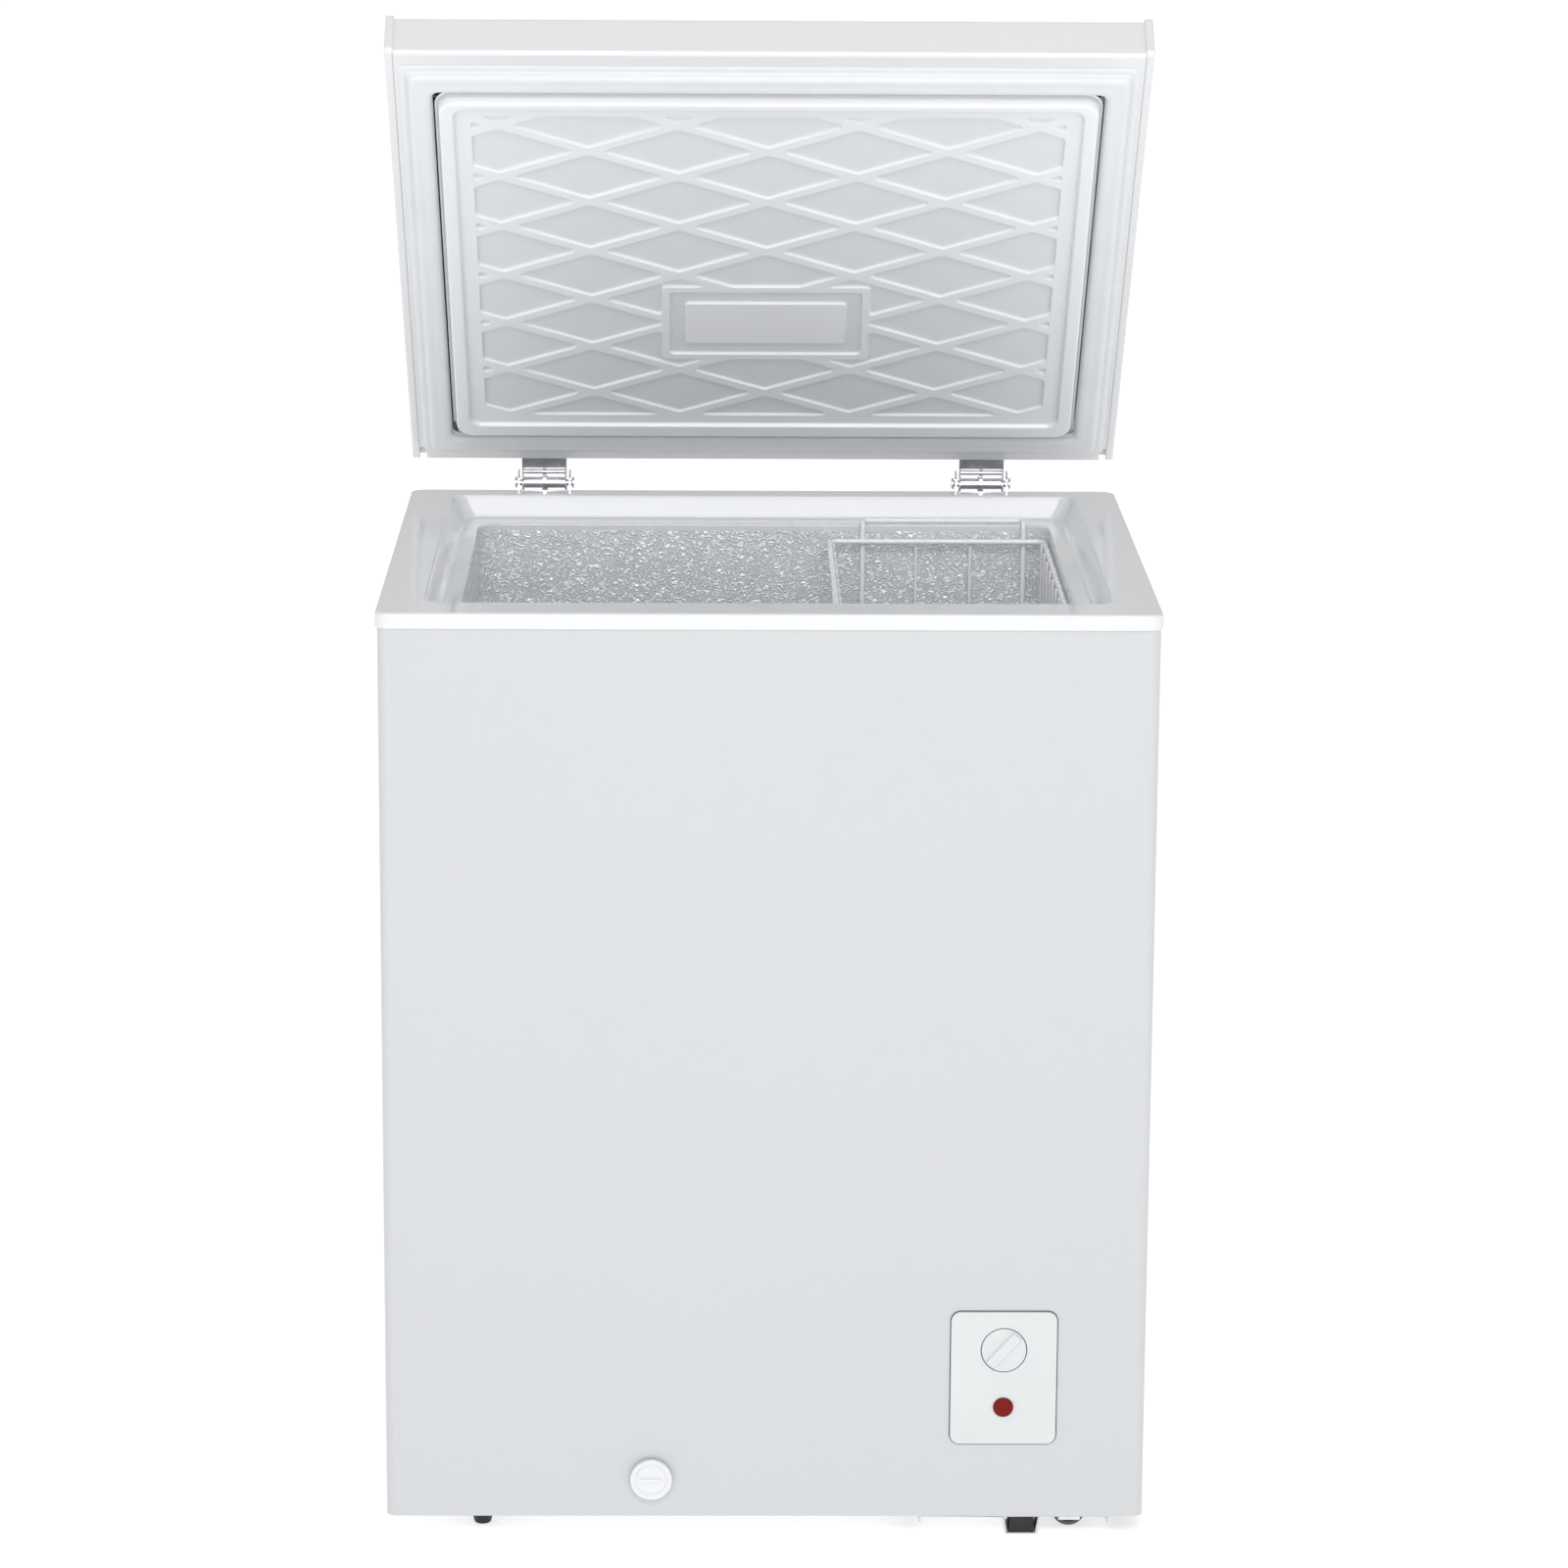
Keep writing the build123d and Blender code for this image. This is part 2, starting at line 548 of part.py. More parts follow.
def hinge_leaves():
    """Lid half of the hinge: plate, cheeks, front apron, hub, centre web and spacer bar."""
    ty, tz = tail_spot()
    leaf = box(-20, 20, LID_Y1, LID_Y1 + 1.5, 795, 825)
    outline = about_pivot([(-27.5, 9), (-27.5, 38), (-20, 38), (10.5, 12.7), (14.5, 5), (5, -7),
                           (-7, -5)])
    for x in (-20, 18.5):
        cheek = side_plate(outline, x, x + 1.5) + rod(8.5, (x, PIVOT_Y, PIVOT_Z), (1, 0, 0), 1.5)
        leaf += cheek + rod(5.5, (x, PIVOT_Y + ty, PIVOT_Z + tz), (1, 0, 0), 1.5)
    leaf += side_plate(about_pivot([(-27.5, 13), (-27.5, 34), (-22, 34), (-2, 4.5), (-4.5, -2)]),
                       -1.5, 1.5)
    leaf += side_plate(about_pivot([(-27.5, 9), (-27.5, 10.4), (-17.6, 3.9), (-18.2, 2.6)]), -18.6, 18.6)
    leaf += pivot_rod(5.2, 0, 0, 19) + pivot_rod(2.2, -12.4, 3, 19)
    leaf -= pivot_rod(3.05, 0, 0, 30) + pivot_rod(2.5, ty, tz, 30)
    for x in (-12, 12):
        for z in (802, 818):
            leaf -= rod(1.9, (x, LID_Y1 - 3, z), (0, 1, 0), 8)
    return opened(both_hinges(leaf))


def leaf_screws():
    one = screw(3.6, 1.8, 9)
    spots = [Pos(s * HINGE_X + x, LID_Y1 + 1.5, z) * one
             for s in (-1, 1) for x in (-12, 12) for z in (802, 818)]
    return opened(Compound(spots))


def hinge_tail_pins():
    return opened(both_hinges(pivot_rod(2.5, *tail_spot(), 21)))


def spring_rods():
    """Hooked rod that the lever pulls up as the lid closes, with its washer and nut."""
    y, z = PIVOT_Y + ROD_DY, PIVOT_Z + ROD_DZ
    hook = box(-2.5, 2.5, y - 4.6, y + 7.4, z - 6.4, z + 6.4)
    hook = fillet(hook.edges().filter_by(Axis.X).group_by(Axis.Y)[-1], 4)
    hook -= box(-5, 5, y - 8, y + 4.3, z - 3.1, z + 3.1)
    hook += rod(2.4, (0, y, z - 5), (0, 0, -1), z - 5 - 640)
    hook += rod(8.8, (0, y, WASHER_Z), (0, 0, -1), 2)
    return both_hinges(hook + extrude(Pos(0, y, WASHER_Z - 6) * RegularPolygon(5.5, 6), 4.2))


def hinge_springs():
    coil = Helix(pitch=6.0, height=SEAT_Z - WASHER_Z - 2.6, radius=6.6)
    wire = sweep(Plane(coil @ 0, z_dir=coil % 0) * Circle(0.95), path=coil, is_frenet=True)
    return both_hinges(Pos(0, PIVOT_Y + ROD_DY, WASHER_Z + 1.3) * wire)


# ---- lid (drawn closed, then opened) ----------------------------------------------------------------------
def lid_frame():
    """Plastic frame round the lid, deep at the front."""
    frame = box(-LID_X, LID_X, LID_Y0, LID_Y1, LID_Z, LID_TOP - 0.8)
    front = [e for e in frame.edges().filter_by(Axis.X) if e.center().Y < 0]
    frame = fillet(front, 4)
    frame -= box(-RING_X, RING_X, RING_Y0, RING_Y1, LID_Z - 5, LID_TOP + 5)
    for side in (-1, 1):
        frame -= box(side * 305 - 3, side * 305 + 3, 248, 270, LID_Z - 1, LID_Z + 6)
        for x in (-12, 12):
            for z in (802, 818):
                frame -= rod(1.8, (side * HINGE_X + x, 240, z), (0, 1, 0), 30)
    return opened(frame)


def lid_side_trims():
    trims = []
    for x0, x1 in ((-315, -LID_X), (LID_X, 315)):
        trim = box(x0, x1, LID_Y0 - 2.5, LID_Y1 + 0.5, LID_Z, LID_TOP + 1)
        trims.append(fillet([e for e in trim.edges().filter_by(Axis.X) if e.center().Y < 0], 5))
    return opened(Compound(trims))


def lid_skin():
    return opened(box(-LID_X, LID_X, LID_Y0 + 5, LID_Y1, LID_TOP - 0.8, LID_TOP))


def lid_foam():
    foam = box(-RING_X, RING_X, RING_Y0, RING_Y1, LID_Z + 1.5, LID_TOP - 0.8)
    return opened(foam + slab(grown(PLUG_TOP, -4), LID_Z - 3, LID_Z + 2, 10))


def lid_pockets():
    """Diamond cells between crossing ribs, and the moat round the raised plate."""
    cells = sheet(FIELD, 0, 9)
    slope = degrees(atan2(PITCH_Y / 2, HALF_X))
    for k in range(-1, 8):
        for turn in (slope, -slope):
            cells -= Pos(0, FIELD[3] - PITCH_Y * k) * Rot(0, 0, turn) * Rectangle(640, RIB)
    cells -= Pos(0, PLATE_Y) * RectangleRounded(178, 96, 8)
    moat = Pos(0, PLATE_Y) * RectangleRounded(168, 84, 5) - Pos(0, PLATE_Y) * RectangleRounded(138, 52, 3)
    faces = [f for f in cells.faces() if f.area > 30] + moat.faces()
    z = PLUG_Z + STEP
    return [extrude(Pos(0, 0, z - 1) * f, POCKET + 1, dir=(0, 0, 1)) for f in faces]


def lid_liner():
    """Inner lid panel: flange, raised plug with a ridge round it, and the pattern."""
    liner = taper(PLUG_LOW, PLUG_TOP, PLUG_Z, LID_Z, 14)
    liner = fillet(liner.faces().sort_by(Axis.Z)[0].edges(), 1.5)
    liner += box(-RING_X, RING_X, RING_Y0, RING_Y1, LID_Z, LID_Z + 1.5)
    liner -= slab(grown(PLUG_TOP, -4), LID_Z - 3, LID_Z + 5, 10)
    liner -= slab((-260.5, 260.5, -211, 203), PLUG_Z - 1, PLUG_Z + STEP, 10)
    for pocket in lid_pockets():
        liner -= pocket
    return opened(liner)


def lid_gasket():
    outer, inner = (-RING_X, RING_X, -247.5, 248.0), (-277.5, 277.5, -225.0, 227.0)
    ring = slab(outer, Z_RIM + 0.35, LID_Z, 6) - slab(inner, 700, 900, 8)
    ring = fillet(ring.faces().sort_by(Axis.Z)[0].edges(), 2.8)
    groove = slab(grown(inner, 8.5), LID_Z - 1.5, LID_Z - 0.5, 14) - slab(grown(inner, 5), 700, 900, 12)
    return opened(ring - groove)


# ---- basket ------------------------------------------------------------------------------------------------
def basket_rim():
    z = BASKET_Z
    return tube([(BX0, BY0, z), (BX1, BY0, z), (BX1, BY1, z), (BX0, BY1, z)], RIM_R, 9, closed=True)


def basket_hanger():
    """One closed wire: hangs on both ledges and runs down and under the basket."""
    out = RIM_R + LEG_R + GAP
    y0, y1, top = BY0 - out, BY1 + out, Z_LEDGE + 0.4 + LEG_R
    loop = [(231, y1, BASKET_LOW), (231, y1, top), (231, 218, top), (88, 218, top), (88, y1, top),
            (88, y1, BASKET_LOW), (88, y0, BASKET_LOW), (88, y0, top), (88, -213.5, top),
            (231, -213.5, top), (231, y0, top), (231, y0, BASKET_LOW)]
    return tube(loop, LEG_R, 5, closed=True)


def basket_long_wires():
    out = RIM_R + WIRE_R + GAP
    y0, y1, z = BY0 - out, BY1 + out, BASKET_LOW
    return Compound([tube([(x, y1, BASKET_Z + 2), (x, y1, z), (x, y0, z), (x, y0, BASKET_Z + 2)],
                          WIRE_R, 8) for x in (135.5, 183.5)])


def basket_cross_wires():
    gap = RIM_R + WIRE_R + GAP
    x0, x1, z = BX0 + gap, BX1 - gap, BASKET_LOW + LEG_R + WIRE_R + GAP
    return Compound([tube([(x0, y, BASKET_Z + 2), (x0, y, z), (x1, y, z), (x1, y, BASKET_Z + 2)],
                          WIRE_R, 8) for y in [-172.0 + 38.8 * i for i in range(10)]])


def basket_belt():
    """Thin wire round the basket at half depth."""
    x0, x1, y0, y1, z = BX0 + 1, BX1 - 1, BY0 - 1, BY1 + 1, 655.0
    return tube([(x0, y0, z), (x1, y0, z), (x1, y1, z), (x0, y1, z)], 1.5, 9, closed=True)


PARTS = {
    "cabinet_shell": cabinet_shell, "back_panel": back_panel, "bottom_panel": bottom_panel,
    "bay_liner": bay_liner, "inner_liner": inner_liner, "collar_frame": collar_frame,
    "insulation": insulation, "evaporator_coil": evaporator_coil,
    "condenser_coil": condenser_coil, "base_tray": base_tray, "skid_pad": skid_pad,
    "compressor": compressor, "compressor_grommets": compressor_grommets,
    "compressor_bolts": compressor_bolts, "relay_cover": relay_cover,
    "filter_drier": filter_drier, "suction_line": suction_line,
    "discharge_line": discharge_line, "liquid_line": liquid_line,
    "capillary_tube": capillary_tube, "process_tube": process_tube,
    "compressor_cover": compressor_cover, "cover_screws": cover_screws, "cord_gland": cord_gland,
    "control_panel": control_panel, "thermostat_body": thermostat_body,
    "thermostat_bulb": thermostat_bulb, "lamp_holder": lamp_holder,
    "indicator_lens": indicator_lens, "control_knob": control_knob,
    "thermostat_shaft": thermostat_shaft, "drain_tube": drain_tube, "drain_spout": drain_spout,
    "drain_cap": drain_cap, "drain_plug": drain_plug, "levelling_feet": levelling_feet,
    "roller_front": lambda: roller(roller_ys()[0]), "roller_rear": lambda: roller(roller_ys()[1]),
    "roller_brackets": roller_brackets, "roller_axles": roller_axles,
    "hinge_bases": hinge_bases, "hinge_base_screws": hinge_base_screws, "hinge_pins": hinge_pins,
    "hinge_leaves": hinge_leaves, "leaf_screws": leaf_screws, "hinge_tail_pins": hinge_tail_pins,
    "spring_rods": spring_rods, "hinge_springs": hinge_springs, "lid_frame": lid_frame,
    "lid_side_trims": lid_side_trims, "lid_skin": lid_skin, "lid_foam": lid_foam,
    "lid_liner": lid_liner, "lid_gasket": lid_gasket, "basket_rim": basket_rim,
    "basket_hanger": basket_hanger, "basket_long_wires": basket_long_wires,
    "basket_cross_wires": basket_cross_wires, "basket_belt": basket_belt,
}

for name, make in PARTS.items():
    save(name, make())
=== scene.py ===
# %% [markdown]
# # A small chest freezer with its lid standing open
# The shapes, sizes and hinges of this freezer already exist as a packed engineering model. This
# lesson dresses that model: it builds the smooth, rounded surfaces that a maker's tools leave
# behind, gives each one a finish, and lights it in a plain white studio. Everything is in
# metres. +Z is up, the front of the freezer looks towards -Y, and the floor is at z = 0.

# %% Load the frame
import json
from math import cos, hypot, pi, radians, sin, tan

import bmesh
import bpy
from mathutils import Matrix, Vector
from mathutils.geometry import delaunay_2d_cdt

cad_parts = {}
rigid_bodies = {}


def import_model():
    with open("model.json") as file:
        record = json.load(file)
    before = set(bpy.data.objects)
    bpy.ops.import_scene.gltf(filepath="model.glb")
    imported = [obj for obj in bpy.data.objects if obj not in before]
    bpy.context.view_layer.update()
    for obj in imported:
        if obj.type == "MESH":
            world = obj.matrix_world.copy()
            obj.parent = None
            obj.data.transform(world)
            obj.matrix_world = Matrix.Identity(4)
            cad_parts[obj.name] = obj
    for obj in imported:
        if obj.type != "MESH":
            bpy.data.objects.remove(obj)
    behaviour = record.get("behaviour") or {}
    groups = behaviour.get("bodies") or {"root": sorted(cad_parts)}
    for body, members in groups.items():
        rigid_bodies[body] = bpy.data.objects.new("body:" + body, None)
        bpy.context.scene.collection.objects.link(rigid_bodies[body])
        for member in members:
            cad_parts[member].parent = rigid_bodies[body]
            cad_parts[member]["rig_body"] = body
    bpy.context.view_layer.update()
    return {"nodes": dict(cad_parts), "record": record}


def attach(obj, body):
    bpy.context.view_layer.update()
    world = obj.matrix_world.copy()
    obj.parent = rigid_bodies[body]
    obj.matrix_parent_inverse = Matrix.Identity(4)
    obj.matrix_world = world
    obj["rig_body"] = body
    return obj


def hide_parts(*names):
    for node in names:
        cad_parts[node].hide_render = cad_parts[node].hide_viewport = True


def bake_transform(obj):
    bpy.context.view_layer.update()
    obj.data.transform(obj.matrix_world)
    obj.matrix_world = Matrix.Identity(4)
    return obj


for leftover in list(bpy.data.objects):
    bpy.data.objects.remove(leftover)
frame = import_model()

# %% [markdown]
# ## The camera
# A long lens far away keeps the sides of a tall box almost parallel. The camera stands about
# four metres in front, some 40 centimetres above the top of the open lid, and looks down by less
# than 13 degrees. A small downward shift frames the whole freezer without tilting the camera
# further.

# %% Camera
MM = 0.001
SENSOR_MM = 36.0


def make_camera(place, down, turn, roll, lens, shift):
    data = bpy.data.cameras.new("studio_camera")
    data.lens, data.sensor_width, data.shift_y = lens, SENSOR_MM, shift
    data.clip_start, data.clip_end = 0.1, 200.0
    camera = bpy.data.objects.new("studio_camera", data)
    camera.matrix_world = (Matrix.Translation(place) @ Matrix.Rotation(radians(turn), 4, "Z")
                           @ Matrix.Rotation(radians(90 - down), 4, "X")
                           @ Matrix.Rotation(radians(roll), 4, "Z"))
    bpy.context.scene.collection.objects.link(camera)
    bpy.context.scene.camera = camera
    return camera


camera = make_camera((-0.0497, -4.3117, 1.6359), down=12.67, turn=-0.87, roll=0.35, lens=118.85,
                     shift=-0.0648)
print("camera at", tuple(round(v, 3) for v in camera.location))

# %% [markdown]
# ## The studio
# The room is a wide pale floor under an even white sky, with four big soft lamps: a low and a
# high one in front, and a weaker one on either side. The floor glows a little, like a lit white
# sweep in a studio, so it stays pure white behind the freezer and fills the faces that look
# down. The lamps add a soft direction that shows the form.

# %% Studio
SKY, FLOOR_GLOW, FLOOR_HALF = 0.62, 0.56, 30.0


def soft_lamp(name, place, aim, size, watts):
    data = bpy.data.lights.new(name, "AREA")
    data.shape, data.size, data.size_y, data.energy = "RECTANGLE", size[0], size[1], watts
    lamp = bpy.data.objects.new(name, data)
    way = Vector(aim) - Vector(place)
    turn = way.to_track_quat("-Z", "Y").to_matrix().to_4x4()
    lamp.matrix_world = Matrix.Translation(place) @ turn
    bpy.context.scene.collection.objects.link(lamp)
    return lamp


def make_studio():
    world = bpy.data.worlds.new("white_sky")
    world.use_nodes = True
    world.node_tree.nodes["Background"].inputs["Color"].default_value = (1.0, 1.0, 1.0, 1.0)
    world.node_tree.nodes["Background"].inputs["Strength"].default_value = SKY
    bpy.context.scene.world = world
    bpy.context.scene.view_settings.view_transform = "Standard"
    soft_lamp("high_lamp", (0.2, -3.4, 3.5), (0.0, 0.0, 0.8), (2.4, 1.4), 52)
    soft_lamp("left_lamp", (-3.6, -2.6, 2.4), (0.0, 0.0, 0.6), (1.2, 2.4), 6)
    soft_lamp("front_lamp", (0.2, -5.6, 2.0), (0.0, 0.0, 0.9), (2.4, 1.4), 50)
    soft_lamp("right_lamp", (3.8, -2.2, 2.0), (0.0, 0.0, 0.5), (1.2, 2.2), 5)
    mesh = bpy.data.meshes.new("studio_floor")
    s = FLOOR_HALF
    mesh.from_pydata([(-s, -s, 0), (s, -s, 0), (s, s, 0), (-s, s, 0)], [], [(0, 1, 2, 3)])
    floor = bpy.data.objects.new("studio_floor", mesh)
    bpy.context.scene.collection.objects.link(floor)
    pale = bpy.data.materials.new("pale_floor")
    pale.use_nodes = True
    shader = pale.node_tree.nodes["Principled BSDF"]
    shader.inputs["Base Color"].default_value = (0.80, 0.80, 0.80, 1.0)
    shader.inputs["Roughness"].default_value = 0.9
    shader.inputs["Specular IOR Level"].default_value = 0.1
    shader.inputs["Emission Color"].default_value = (1.0, 1.0, 1.0, 1.0)
    shader.inputs["Emission Strength"].default_value = FLOOR_GLOW
    mesh.materials.append(pale)


make_studio()

# %% [markdown]
# ## Finishes
# Real finishes are never one flat colour. Each finish below starts from one plain shader whose
# fixed numbers sit on the shader itself. Small noise patterns then vary its colour and roughness,
# and a bump pattern gives it the grain of its making: orange peel on sprayed paint, a fine matt
# grain on moulded plastic, a faint spangle on zinc-dipped sheet. The patterns read Object
# coordinates, which are metres here, so a scale of 400 means a grain of about two and a half
# millimetres.

# %% Finish helpers
class Finish:
    """A material with one shader and a few helpers to hang patterns on it."""

    def __init__(self, name, colour, rough, metal=0.0, **fixed):
        self.mat = bpy.data.materials.new(name)
        self.mat.use_nodes = True
        self.tree = self.mat.node_tree
        self.shader = self.tree.nodes["Principled BSDF"]
        self.colour = colour
        self.shader.inputs["Base Color"].default_value = (*colour, 1.0)
        self.shader.inputs["Roughness"].default_value = rough
        self.shader.inputs["Metallic"].default_value = metal
        for key, value in fixed.items():
            self.shader.inputs[key.replace("_", " ")].default_value = value
        self.mat.diffuse_color = (*colour, 1.0)
        self.place = self.tree.nodes.new("ShaderNodeTexCoord").outputs["Object"]
        self.height = None

    def node(self, kind, **values):
        """A new node; each value sets a property, or else the input of that name."""
        made = self.tree.nodes.new(kind)
        for key, value in values.items():
            if hasattr(made, key):
                setattr(made, key, value)
            else:
                made.inputs[key.replace("_", " ")].default_value = value
        return made

    def link(self, a, b):
        self.tree.links.new(a, b)

    def noise(self, scale, detail=2.0, distortion=0.0):
        made = self.node("ShaderNodeTexNoise", Scale=scale, Detail=detail, Distortion=distortion)
        self.link(self.place, made.inputs["Vector"])
        return made.outputs["Fac"]

    def spread(self, value, low, high, a=0.0, b=1.0):
        """Stretch the span a to b of a pattern over low to high."""
        made = self.node("ShaderNodeMapRange")
        for key, number in (("From Min", a), ("From Max", b), ("To Min", low), ("To Max", high)):
            made.inputs[key].default_value = number
        self.link(value, made.inputs["Value"])
        return made.outputs["Result"]

    def tint(self, value, other, a=0.35, b=0.65):
        """Blend the base colour towards another where the pattern is high."""
        mix = self.node("ShaderNodeMix", data_type="RGBA")
        self.link(self.spread(value, 0.0, 1.0, a, b), mix.inputs["Factor"])
        past = self.shader.inputs["Base Color"].links
        if past:
            self.link(past[0].from_socket, mix.inputs[6])
        else:
            mix.inputs[6].default_value = (*self.colour, 1.0)
        mix.inputs[7].default_value = (*other, 1.0)
        self.link(mix.outputs[2], self.shader.inputs["Base Color"])
        return self

    def rough(self, value, low, high, a=0.35, b=0.65):
        """Let the roughness follow a pattern."""
        self.link(self.spread(value, low, high, a, b), self.shader.inputs["Roughness"])
        return self

    def bump(self, value, depth, strength=1.0):
        """Raise the surface by depth metres where the pattern is high."""
        made = self.node("ShaderNodeBump", Strength=strength, Distance=depth)
        self.link(value, made.inputs["Height"])
        if self.height:
            self.link(self.height, made.inputs["Normal"])
        self.height = made.outputs["Normal"]
        self.link(self.height, self.shader.inputs["Normal"])
        return self


def sprayed_paint():
    f = Finish("white_sprayed_steel", (0.560, 0.572, 0.586), 0.30, Coat_Weight=0.2,
               Coat_Roughness=0.15)
    f.tint(f.noise(2.2, 2), (0.548, 0.560, 0.575), 0.1, 0.9)
    f.rough(f.noise(6, 2), 0.27, 0.35, 0.1, 0.9)
    return f.bump(f.noise(420, 1), 0.00006, 0.35).mat


def gloss_plastic(name, colour, low, high):
    f = Finish(name, colour, 0.2, Coat_Weight=0.3, Coat_Roughness=0.08)
    shade = tuple(c * 0.98 for c in colour)
    f.tint(f.noise(3.0, 2), shade, 0.1, 0.9).rough(f.noise(14, 2), low, high, 0.1, 0.9)
    return f.bump(f.noise(260, 2), 0.00003, 0.25).mat


def frosted_panel_painted_shade():
    """Formed sheet: the ribs are polished by the mould and the cells between them are frosted; the
    cell floors also get painted shade.
    """
    f = Finish("lid_panel_plastic", (0.80, 0.812, 0.825), 0.2, Coat_Weight=0.15,
               Coat_Roughness=0.15)
    depth = f.node("ShaderNodeAttribute", attribute_name="relief").outputs["Fac"]
    # Painted shade: the colour darkens with the relief value, so the cell floors look shaded.
    f.tint(depth, (0.70, 0.725, 0.752), 0.0, 1.0)
    f.tint(f.noise(3.0, 2), (0.745, 0.762, 0.785), 0.3, 1.4)
    f.rough(depth, 0.16, 0.4, 0.0, 1.0)
    return f.bump(f.noise(900, 2), 0.00002, 0.3).mat


def moulded_plastic(name, colour):
    f = Finish(name, colour, 0.45)
    f.tint(f.noise(8, 3), tuple(c * 0.93 for c in colour)).rough(f.noise(30, 3), 0.38, 0.5)
    return f.bump(f.noise(1400, 2), 0.00005, 0.6).mat


def soft_rubber(name, colour):
    f = Finish(name, colour, 0.6, Specular_IOR_Level=0.35)
    f.tint(f.noise(25, 3), tuple(c * 0.95 for c in colour), 0.2, 0.8)
    f.rough(f.noise(60, 3), 0.45, 0.65)
    return f.bump(f.noise(900, 3), 0.00008, 0.6).mat


def bare_metal(name, colour, low, high):
    f = Finish(name, colour, low, 1.0)
    f.tint(f.noise(120, 4), tuple(c * 0.86 for c in colour)).rough(f.noise(60, 4), low, high)
    return f.bump(f.noise(700, 3), 0.00002, 0.5).mat


def galvanised():
    """Zinc-dipped sheet with a faint spangle of crystals."""
    f = Finish("galvanised_sheet", (0.60, 0.61, 0.62), 0.42, 0.85)
    spangle = f.node("ShaderNodeTexVoronoi", Scale=55)
    f.link(f.place, spangle.inputs["Vector"])
    f.tint(spangle.outputs["Color"], (0.56, 0.57, 0.585), 0.0, 1.0)
    f.tint(f.noise(5, 3), (0.585, 0.595, 0.605), 0.2, 0.8)
    f.rough(f.noise(40, 2), 0.36, 0.5, 0.2, 0.8)
    return f.bump(f.noise(500, 2), 0.00003, 0.4).mat


FINISH = {
    "white_steel": sprayed_paint(),
    "white_plastic": gloss_plastic("white_collar_plastic", (0.72, 0.73, 0.745), 0.07, 0.13),
    "lid_plastic": frosted_panel_painted_shade(),
    "panel_plastic": moulded_plastic("control_panel_plastic", (0.665, 0.68, 0.69)),
    # On skid_pad this black rubber fills the hollow of the pressed foot and paints the shade inside
    # it.
    "black_rubber": soft_rubber("black_foot_rubber", (0.022, 0.022, 0.024)),
    "seal_rubber": soft_rubber("pale_seal_vinyl", (0.74, 0.755, 0.77)),
    "black_plastic": moulded_plastic("black_moulding", (0.03, 0.03, 0.032)),
    "grey_plastic": moulded_plastic("grey_roller_nylon", (0.10, 0.104, 0.108)),
    "zinc_plate": bare_metal("bright_zinc_plate", (0.74, 0.75, 0.77), 0.10, 0.26),
    "grey_steel": galvanised(),
    "tube_aluminium": bare_metal("aluminium_tube", (0.72, 0.72, 0.73), 0.25, 0.4),
    "copper": bare_metal("copper_tube", (0.78, 0.42, 0.28), 0.22, 0.42),
}
print("finishes", sorted(FINISH))

# %% Finishes with a pattern of their own
def embossed_sheet():
    """Thin aluminium rolled with short wandering ridges, about four millimetres apart; the crests
    get a painted highlight.
    """
    f = Finish("embossed_aluminium", (0.76, 0.775, 0.80), 0.28, 0.3)
    wave = f.node("ShaderNodeMath", operation="SINE")
    f.link(f.spread(f.noise(150, 0.0, distortion=0.8), 0.0, 26.0), wave.inputs[0])
    ridge = f.spread(wave.outputs[0], 0.0, 1.0, -0.4, 0.9)
    # Painted highlight: the ridge crests are tinted near white, as if lit.
    f.tint(ridge, (0.98, 0.985, 0.99), 0.0, 1.0)
    f.rough(f.noise(40, 3), 0.26, 0.38)
    return f.bump(ridge, 0.0010, 0.7).mat


def lamp_lens():
    """Deep red plastic over a small lamp that is off."""
    f = Finish("red_lamp_lens", (0.21, 0.003, 0.002), 0.3, Specular_IOR_Level=0.2)
    f.tint(f.noise(420, 2), (0.12, 0.002, 0.001), 0.2, 0.8).rough(f.noise(90, 2), 0.24, 0.4)
    return f.bump(f.noise(900, 1), 0.00004, 0.4).mat


def poured_foam():
    f = Finish("poured_foam", (0.78, 0.70, 0.42), 0.85)
    f.tint(f.noise(60, 5), (0.62, 0.52, 0.26))
    cells = f.node("ShaderNodeTexVoronoi", Scale=500)
    f.link(f.place, cells.inputs["Vector"])
    return f.bump(cells.outputs["Distance"], 0.0006, 0.8).mat


def dipped_wire():
    f = Finish("white_dipped_wire", (0.88, 0.89, 0.90), 0.25, Coat_Weight=0.35, Coat_Roughness=0.1)
    f.tint(f.noise(50, 2), (0.84, 0.85, 0.86), 0.2, 0.8).rough(f.noise(120, 2), 0.2, 0.3)
    return f.bump(f.noise(260, 2), 0.00004, 0.3).mat


def black_enamel():
    f = Finish("black_enamel", (0.018, 0.018, 0.02), 0.24, Coat_Weight=0.4, Coat_Roughness=0.1)
    f.tint(f.noise(12, 4), (0.03, 0.03, 0.033)).rough(f.noise(30, 4), 0.18, 0.34)
    return f.bump(f.noise(240, 3), 0.0001, 0.4).mat


FINISH.update(embossed_aluminium=embossed_sheet(), red_lens=lamp_lens(), foam=poured_foam(),
              coated_wire=dipped_wire(), black_paint=black_enamel())
slots = {node: m["slot"] for m in frame["record"]["materials"] for node in m.get("nodes", [])}
for name, node in frame["nodes"].items():
    for m in node.data.materials:
        if name not in slots and m and m.name.split(".")[0] in FINISH:
            slots[name] = m.name.split(".")[0]
print("slots found for", len(slots), "of", len(frame["nodes"]), "nodes; a few:",
      list(slots.items())[:3])

# %% [markdown]
# ## Tools for shaping
# Most moulded or folded parts here follow a rounded rectangle all the way round. So the main tool
# is a loft: a stack of rounded rectangles with the same number of points, joined ring to ring.
# Where the stack ends on its own start, it is a closed hoop such as the collar or the gasket.
# Edges sharper than a chosen angle stay crisp, and the rest are shaded smooth.

